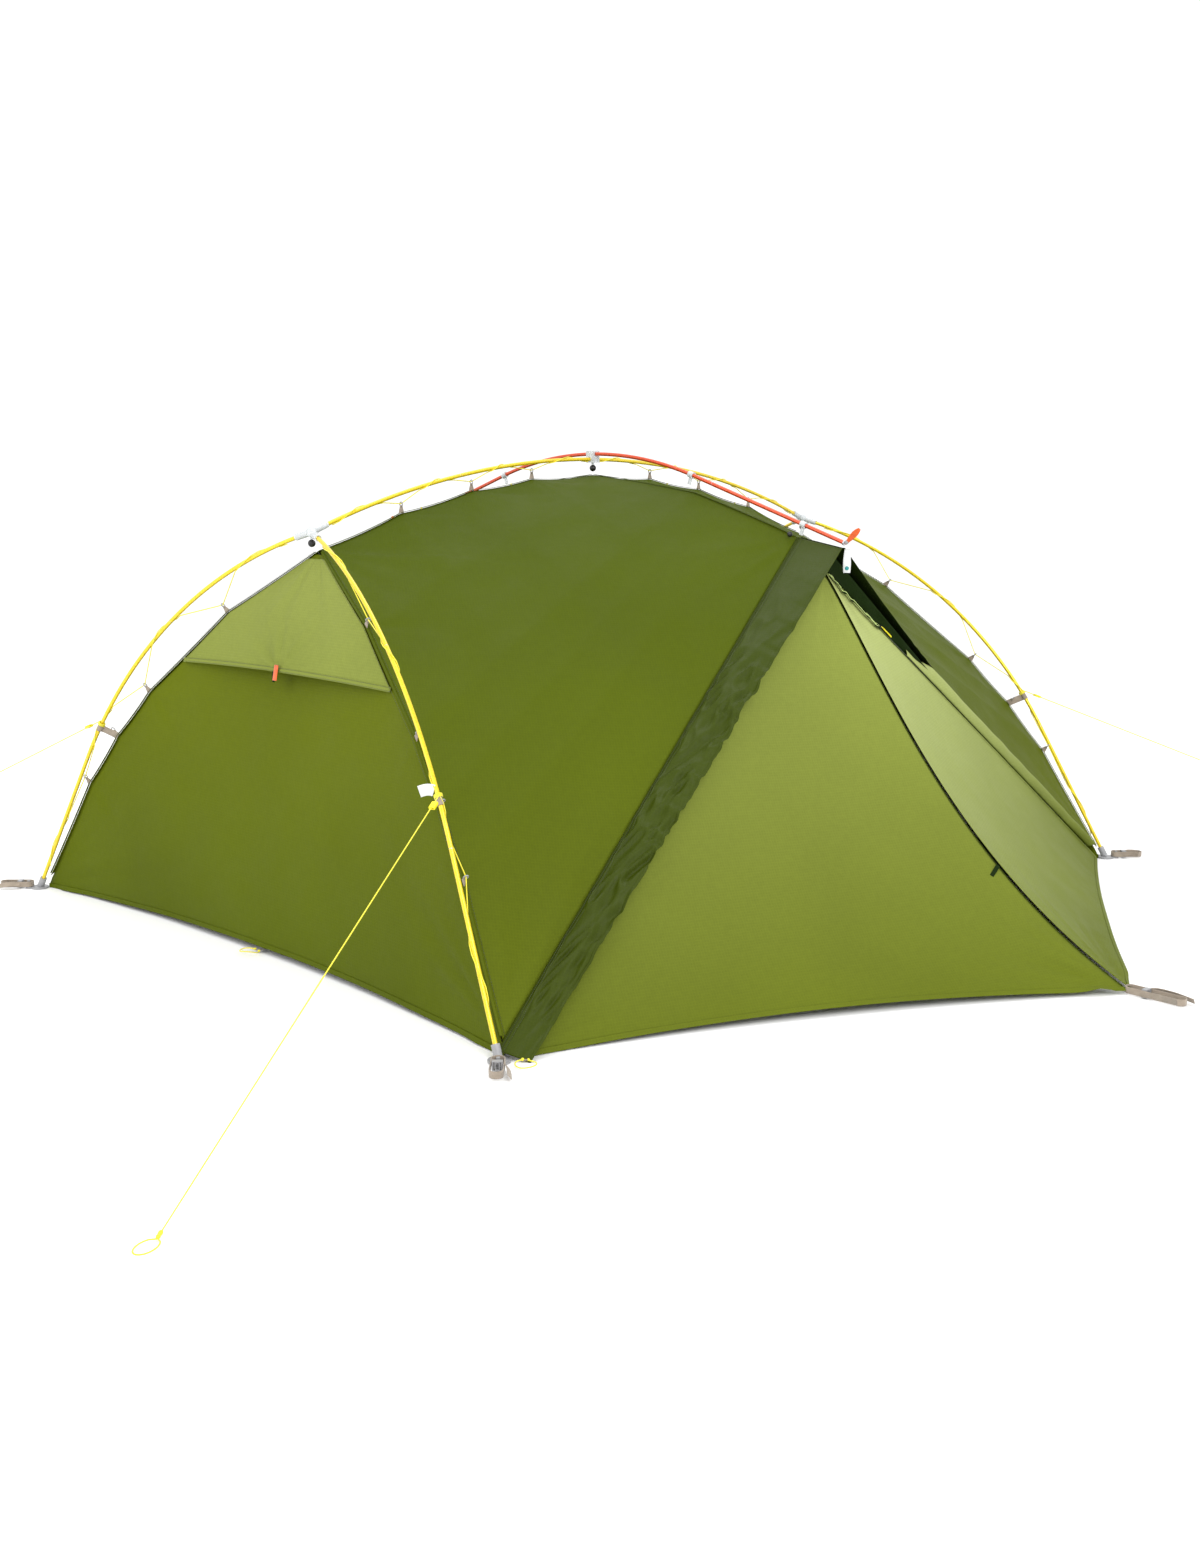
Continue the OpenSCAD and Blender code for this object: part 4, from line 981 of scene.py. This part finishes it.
def add_pulls():
    for end, sign in ENDS:
        body = end + "_pull"
        out = turned(ZIP_OUT, sign)
        path = [turned(at_slider(x, 0.0, 0.0085), sign) for x in shares(12, 0.012, 0.050)]
        width = 0.0084 - 0.0022 * np.sin(shares(12) * math.pi)
        tab = [strap(path, out, width, 0.0026)]
        add_bands(f"pull_tab_{end}", tab, YELLOW, body, replaces=f"zip_pull_{end}")
        loop = []
        for degrees in range(0, 360, 24):
            f = math.radians(degrees)
            x = 0.0095 - 0.0075 * math.cos(f)
            loop.append(turned(at_slider(x, 0.0022 * math.sin(f), 0.0083 + 0.0006 * math.cos(f)), sign))
        add_curve(f"pull_cord_{end}", loop, 0.0018, CORD, body, closed=True)


# ---------- webbing, loops and small trim ----------


def arc(centre, x, y, radius, start, end, count):
    """Points of an arc, with the directions that point out of it."""
    angle = np.radians(shares(count, start, end))[:, None]
    away = np.cos(angle) * x + np.sin(angle) * y
    return centre + radius * away, away


def tab_bands(foot, along, out):
    """A tapered tab sewn on the seam, and the loop at its top that holds the ring."""
    up = [foot + out * r for r in (0.0, 0.004, 0.008, 0.012, 0.0155)]
    face = np.cross(along, out)
    tube = foot + out * (RING_REACH - 0.0052)
    loop, away = arc(tube, along, out, 0.0021, -90, 270, 14)
    return [
        strap(up, face, vec(0.016, 0.015, 0.013, 0.010, 0.008), 0.0022),
        strap(loop, away, 0.0055, 0.0010),
    ]


def guy_strap_bands(sx, sy):
    """A wide strap from the seam that goes round the pole where the guy line is tied."""
    centre, along = leg_pole(sx, sy, GUY_AT - 0.012)
    foot = leg_seam(sx, sy, np.array(GUY_TAB))
    x = foot - centre
    x = unit(x - along * (x @ along))
    y = np.cross(along, x)
    turn, away = arc(centre, x, y, 0.0066, 15, 345, 16)
    straight = [mix(foot, turn[0], t) for t in shares(7)[:-1]]
    face = np.vstack([np.tile(unit(np.cross(along, centre - foot)), (6, 1)), away])
    if face[5] @ away[0] < 0:
        face[:6] *= -1
    return [strap(np.vstack([straight, turn]), face, 0.019, 0.0016)]


def add_tabs():
    bands = []
    for _, sx, sy in QUARTERS:
        for t in LEG_TABS:
            foot = bow(flip(FLY_FOOT, sx, sy), flip(FLY_HUB, sx, sy), LEG_BOW, t)
            bands += tab_bands(foot, leg_along(sx, sy), leg_out(sx, sy))
        foot = bow(flip(FLY_FOOT, sx, sy), flip(FLY_HUB, sx, sy), LEG_BOW, GUY_TAB)
        bands += tab_bands(foot, leg_along(sx, sy), leg_out(sx, sy))
        bands += guy_strap_bands(sx, sy)
    for k in RIDGE_TABS:
        t = 1 - abs(k)
        z = FLY_HUB[2] + (FLY_TOP[2] - FLY_HUB[2]) * (1 - (1 - t) ** 2)
        bands += tab_bands(vec(k * FLY_HUB[0], 0, z), vec(1, 0, 0), UP)
    add_bands("tab_webbing", bands, WEBBING, replaces="hang_tabs")


def add_label():
    centre = leg_pole(-1, -1, GUY_AT + 0.010)[0]
    left = unit(vec(-0.706, 0.707, 0.0))
    path = [centre + left * d + UP * 0.004 * math.sin(d * 90) for d in shares(8, 0.006, 0.036)]
    normal = unit(vec(-0.7, -0.7, 0.2))
    add_band("plain_label", path, normal, 0.024, WHITE_WEBBING, thick=0.0012)


def strap_path(origin, x, y, length, radius, z):
    """Middle line of a flat webbing loop that stands on its edge, and its outward directions."""
    far, far_out = arc(origin + x * length, x, y, radius, -90, 90, 12)
    near, near_out = arc(origin, x, y, radius, 90, 270, 12)
    path = np.vstack([far, near, far[:1]]) + UP * z
    return path, np.vstack([far_out, near_out, far_out[:1]])


def tail_band(origin, x, y, stops, width):
    """A loose strap end; stops hold its distance out, its distance aside and its height."""
    path = resampled(np.array([origin + x * a + y * b + UP * c for a, b, c in stops]), 0.004)
    smooth = path.copy()
    for _ in range(6):
        smooth[1:-1] = (smooth[:-2] + 2 * smooth[1:-1] + smooth[2:]) / 4
    return strap(smooth, unit(y * 0.8 + UP * 0.6), width, 0.0016)


def add_straps():
    corner, stake = [], []
    for _, sx, sy in QUARTERS:
        x = unit(vec(sx, sy, 0))
        y = vec(-x[1], x[0], 0)
        origin = flip(FOOT, sx, sy)
        path, away = strap_path(origin + x * 0.030, x, y, 0.062, 0.0132, 0.0121)
        corner.append(strap(path, away, STRAP_W, 0.0016))
        stops = ((0.050, 0.014, 0.013), (0.066, 0.020, 0.015), (0.086, 0.024, 0.014), (0.108, 0.026, 0.010))
        corner.append(tail_band(origin, x, y, stops, STRAP_W * 0.9))
    turn = math.radians(-92)
    x = vec(math.cos(turn), math.sin(turn), 0)
    y = vec(-x[1], x[0], 0)
    origin = STAKE * vec(1, 1, 0) - vec(0, 0.016, 0)
    path, away = strap_path(origin, x, y, 0.112, 0.0132, 0.0105)
    stops = ((0.032, 0.014, 0.012), (0.052, 0.020, 0.016), (0.090, 0.025, 0.014), (0.132, 0.024, 0.009))
    tail = tail_band(origin, x, y, stops, STRAP_W * 1.1)
    for _, sign in ENDS:
        stake.append(strap(turned(path, sign), turned(away, sign), STRAP_W, 0.0016))
        stake.append({**tail, "path": turned(tail["path"], sign), "normal": turned(tail["normal"], sign)})
    add_bands("corner_webbing", corner, WEBBING, replaces="corner_straps")
    add_bands("stake_webbing", stake, WEBBING, replaces="stake_straps")


def add_hem_loops():
    """Elastic loops, each with a small webbing piece at the hem and two knotted ends."""
    webbing = []
    for end, sign in ENDS:
        places = (
            ("side", vec(-1.147, 0.0, 0.010), vec(-1, 0, 0.14), 0.022),
            ("corner", vec(-1.180, -1.006, 0.005), vec(-0.6, -0.8, 0), 0.021),
        )
        for kind, centre, out, radius in places:
            out = unit(out)
            side = unit(np.cross(UP, out))
            points = []
            for degrees in range(200, 521, 16):
                f = math.radians(degrees)
                wobble = 1 + 0.06 * math.sin(3 * f)
                lift = UP * 0.002 * math.sin(2 * f)
                points.append(centre + radius * wobble * (out * math.cos(f) + side * math.sin(f)) + lift)
            loop = [turned(q, sign) for q in points]
            add_curve(f"hem_loop_{end}_{kind}", loop, 0.0026, CORD, replaces="hem_loops")
            for k, tip in enumerate((points[0], points[-1])):
                profile = [(0, 0.0012), (0.001, 0.0028), (0.003, 0.0033), (0.005, 0.0028), (0.006, 0.0014)]
                axis = turned(unit(-out + side * (0.5 - k)), sign)
                add_lathe(f"hem_knot_{end}_{kind}_{k}", turned(tip, sign), axis, profile, CORD)
            path = [turned(centre - out * d, sign) for d in shares(6, radius - 0.002, radius + 0.016)]
            webbing.append(strap(path, turned(UP, sign), 0.009, 0.0014))
    add_bands("hem_loop_webbing", webbing, WEBBING)


def add_pole_loops():
    """A leaf-shaped pull at each end of the cross pole, its grey end, and the ball inside the clip."""
    bands = []
    base = CROSS_END + vec(0, -0.010, 0.007)
    x = unit(vec(0, -0.743, 0.669))
    for end, sign in ENDS:
        face = unit(vec(-0.7, -0.5, 0) - x * (vec(-0.7, -0.5, 0) @ x))
        t = shares(40, 0.0, 2 * math.pi)
        reach = 0.014 - 0.027 * np.cos(t)
        apart = 0.0026 * np.sin(t)
        path = turned(base + x * reach[:, None] + face * apart[:, None], sign)
        away = turned(face * np.sin(t)[:, None] - x * (np.cos(t) * 0.5)[:, None], sign)
        width = 0.0065 + 0.0085 * np.sin(math.pi * np.clip((reach + 0.013) / 0.054, 0, 1) ** 1.6)
        bands.append(strap(path, unit(away), width, 0.0016))
        knob = [(0, 0.002), (0.001, 0.0045), (0.005, 0.0050), (0.009, 0.0042), (0.010, 0.002)]
        half = [(0.0020, 0.0068), (0.0050, 0.0044), (0.0062, 0.0015)]
        ball = [(-d, r) for d, r in reversed(half)] + half
        at = turned(vec(-0.019, -0.700, 0.972), sign)
        add_lathe(f"clip_ball_{end}", at, turned(vec(0, 1, 0), sign), ball, BLACK)
        add_lathe(f"pull_knob_{end}", turned(base - x * 0.012, sign), turned(x, sign), knob, GREY)
    add_bands("pole_pull_webbing", bands, ORANGE_WEBBING, replaces="pole_end_loops")


def add_apex_straps():
    bands = []
    for end, sign in ENDS:
        face = turned(vec(-0.7071, -0.7071, 0), sign)
        path = turned(np.stack([vec(0, -0.8592, z) for z in shares(14, 0.940, 0.884)]), sign)
        width = 0.013 + 0.006 * np.sin(shares(14) * math.pi * 0.8)
        bands.append(strap(path, face, width, 0.0015))
        stud = [(0, 0.0048), (0.0012, 0.0048), (0.0018, 0.0040), (0.0024, 0.0010)]
        at = turned(vec(0, -0.8592, 0.895), sign) + face * 0.0008
        add_lathe(f"apex_stud_{end}", at, face, stud, STUD)
    add_bands("apex_webbing", bands, WHITE_WEBBING, replaces="apex_straps")


def add_seam_lines():
    """Bound seams under the poles; the leg seams also have a row of stitches on both sides."""
    for name, sx, sy in QUARTERS:
        path = leg_seam(sx, sy, shares(110, 0.01, 0.99))
        add_band("leg_binding_" + name, path, leg_out(sx, sy), 0.006, FLY_ROOF, lift=0.002)
        add_stitches("leg_stitches_" + name, path, leg_out(sx, sy), (0.008, -0.008), pitch=0.006)
    for side, sx in SIDES:
        path = ridge_seam(sx, shares(80, 0.01, 0.995))
        add_band("ridge_binding_" + side, path, UP, 0.006, FLY_ROOF, lift=0.002)
    for end, sign in ENDS:
        path = turned(cross_seam(-1, shares(70, 0.01, 0.99)), sign)
        add_band("cross_binding_" + end, path, UP, 0.006, FLY_ROOF, lift=0.002)


# ---------- inner tent ----------


def inner_end_points(sx, u, v):
    top = flip(INNER_HUB, sx, 1) - UP * 0.004
    return mix(top, mix(flip(INNER_CORNER, sx, 1), flip(INNER_CORNER, sx, -1), u), v)


def inner_front_points(u, v):
    rise = INNER_HUB[2] + (INNER_TOP - INNER_HUB[2]) * 4 * u * (1 - u)
    ridge = np.stack([-INNER_HUB[0] * (1 - 2 * u), np.full_like(u, -0.005), rise], -1)
    return mix(ridge, mix(flip(INNER_CORNER, -1, -1), flip(INNER_CORNER, 1, -1), u), v)


def add_inner_panel(name, shape, sign, seed, replaces):
    sag = 0.004 * noise2(shape[..., 0] * 6 + 9, shape[..., 2] * 6 + shape[..., 1] * 4 + 9, seed)
    points = shape + outward(shape) * sag[..., None]
    add_cloth(name, turned(points, sign), turned(shape, sign), INNER_CLOTH, replaces=replaces)


def add_inner_floor():
    x, y, high = FLOOR_HALF
    u, v = params(50, 40)
    base = np.stack([x * (2 * u - 1), y * (2 * v - 1), np.full_like(u, 0.0020)], -1)
    lift = 0.0012 * (1 + noise2(u * 12, v * 10, 301))
    add_cloth("floor_cloth", base + UP * lift[..., None], base, INNER_FLOOR, replaces="inner_floor")
    u, v = params(60, 8)
    rise = 0.002 + (high - 0.002) * v
    for k, sign in enumerate((-1, 1)):
        bulge = 0.0008 * noise1(u * 14, 311 + k)
        long = np.stack([x * (2 * u - 1), sign * (y - 0.001 + bulge), rise], -1)
        add_cloth(f"floor_edge_long_{k}", long, long, INNER_FLOOR, replaces="inner_floor")
        short = np.stack([sign * (x - 0.001 + bulge), y * (2 * u - 1), rise], -1)
        add_cloth(f"floor_edge_short_{k}", short, short, INNER_FLOOR, replaces="inner_floor")


def add_rolled_door(end, sign, seed):
    """The inner door, rolled up beside the doorway and held by two ties."""
    top = inner_front_points(np.array(DOORWAY_U[0] - 0.015), np.array(0.27))
    low = inner_front_points(np.array(DOORWAY_U[0] - 0.015), np.array(0.93))
    along = unit(low - top)
    out = unit(np.cross(along, vec(1, 0, 0)))
    side = np.cross(out, along)
    length = float(np.linalg.norm(low - top))
    u, v = params(40, 220)
    angle = 2 * math.pi * 5.0 * v
    radius = 0.0065 + 0.0205 * v + 0.0008 * noise1(u * 9 + v * 3, seed)
    spiral = top + out * 0.034 + along * (u * length)[..., None]
    spiral = spiral + (radius * np.cos(angle))[..., None] * out + (radius * np.sin(angle))[..., None] * side
    flat = np.stack([0.53 * v, np.full_like(u, -0.9), length * u], -1)
    name = f"rolled_door_{end}"
    add_cloth(name, turned(spiral, sign), flat, INNER_CLOTH, replaces="inner_door_" + end)
    ties = []
    for share in (0.22, 0.72):
        centre = top + out * 0.034 + along * (share * length)
        path, away = arc(centre, out, side, 0.0286, 0, 360, 40)
        ties.append(strap(turned(path, sign), turned(away, sign), 0.012, 0.0010))
    add_bands(name + "_ties", ties, WEBBING)


def add_inner_tent():
    add_inner_floor()
    for index, (side, sx) in enumerate(SIDES):
        u, v = params(50, 60, (0.005, 0.995), (0.03, 0.996))
        add_inner_panel(f"inner_end_{side}", inner_end_points(sx, u, v), 1, 321 + index, "inner_end_walls")
    low, high = DOORWAY_U
    spans = (
        ("left", (0.004, low), (0.004, 0.997)),
        ("right", (high, 0.996), (0.004, 0.997)),
        ("head", (low + 0.001, high - 0.001), (0.004, DOORWAY_V[0])),
    )
    for index, (end, sign) in enumerate(ENDS):
        for kind, us, vs in spans:
            u, v = params(50, 50, us, vs)
            name = f"inner_{end}_{kind}"
            add_inner_panel(name, inner_front_points(u, v), sign, 331 + index, "inner_wall_" + end)
        add_rolled_door(end, sign, 341 + index)


add_roof()
add_end_walls()
add_hoods()
add_vestibules()
add_flaps()
add_zip_covers()
add_zips()
add_pulls()
add_tabs()
add_label()
add_straps()
add_hem_loops()
add_pole_loops()
add_apex_straps()
add_seam_lines()
add_inner_tent()


# ---------- stage ----------


def add_stage():
    mesh = bpy.data.meshes.new("studio_floor")
    corners = [(60 * x, 60 * y, -0.001) for x, y in ((-1, -1), (1, -1), (1, 1), (-1, 1))]
    mesh.from_pydata(corners, [], [(0, 1, 2, 3)])
    mesh.materials.append(floor_material())
    floor = bpy.data.objects.new("studio_floor", mesh)
    bpy.context.scene.collection.objects.link(floor)


def add_light(name, at, target, size, power):
    data = bpy.data.lights.new(name, "AREA")
    data.size = size
    data.energy = power
    light = bpy.data.objects.new(name, data)
    light.location = at
    light.rotation_euler = (Vector(target) - Vector(at)).to_track_quat("-Z", "Y").to_euler()
    bpy.context.scene.collection.objects.link(light)


def add_lights():
    world = bpy.data.worlds.new("studio")
    world.use_nodes = True
    background = world.node_tree.nodes["Background"]
    background.inputs[0].default_value = (1.0, 1.0, 1.0, 1.0)
    background.inputs[1].default_value = 1.15
    bpy.context.scene.world = world
    add_light("key", (-2.2, -4.6, 3.4), (0, 0, 0.5), 2.6, 130.0)
    add_light("fill", (-5.0, 1.2, 2.6), (0, 0, 0.5), 3.0, 60.0)
    add_light("top", (0.6, 0.4, 5.0), (0, 0, 0.6), 3.0, 60.0)
    bpy.context.scene.view_settings.view_transform = "Standard"


add_stage()
add_lights()
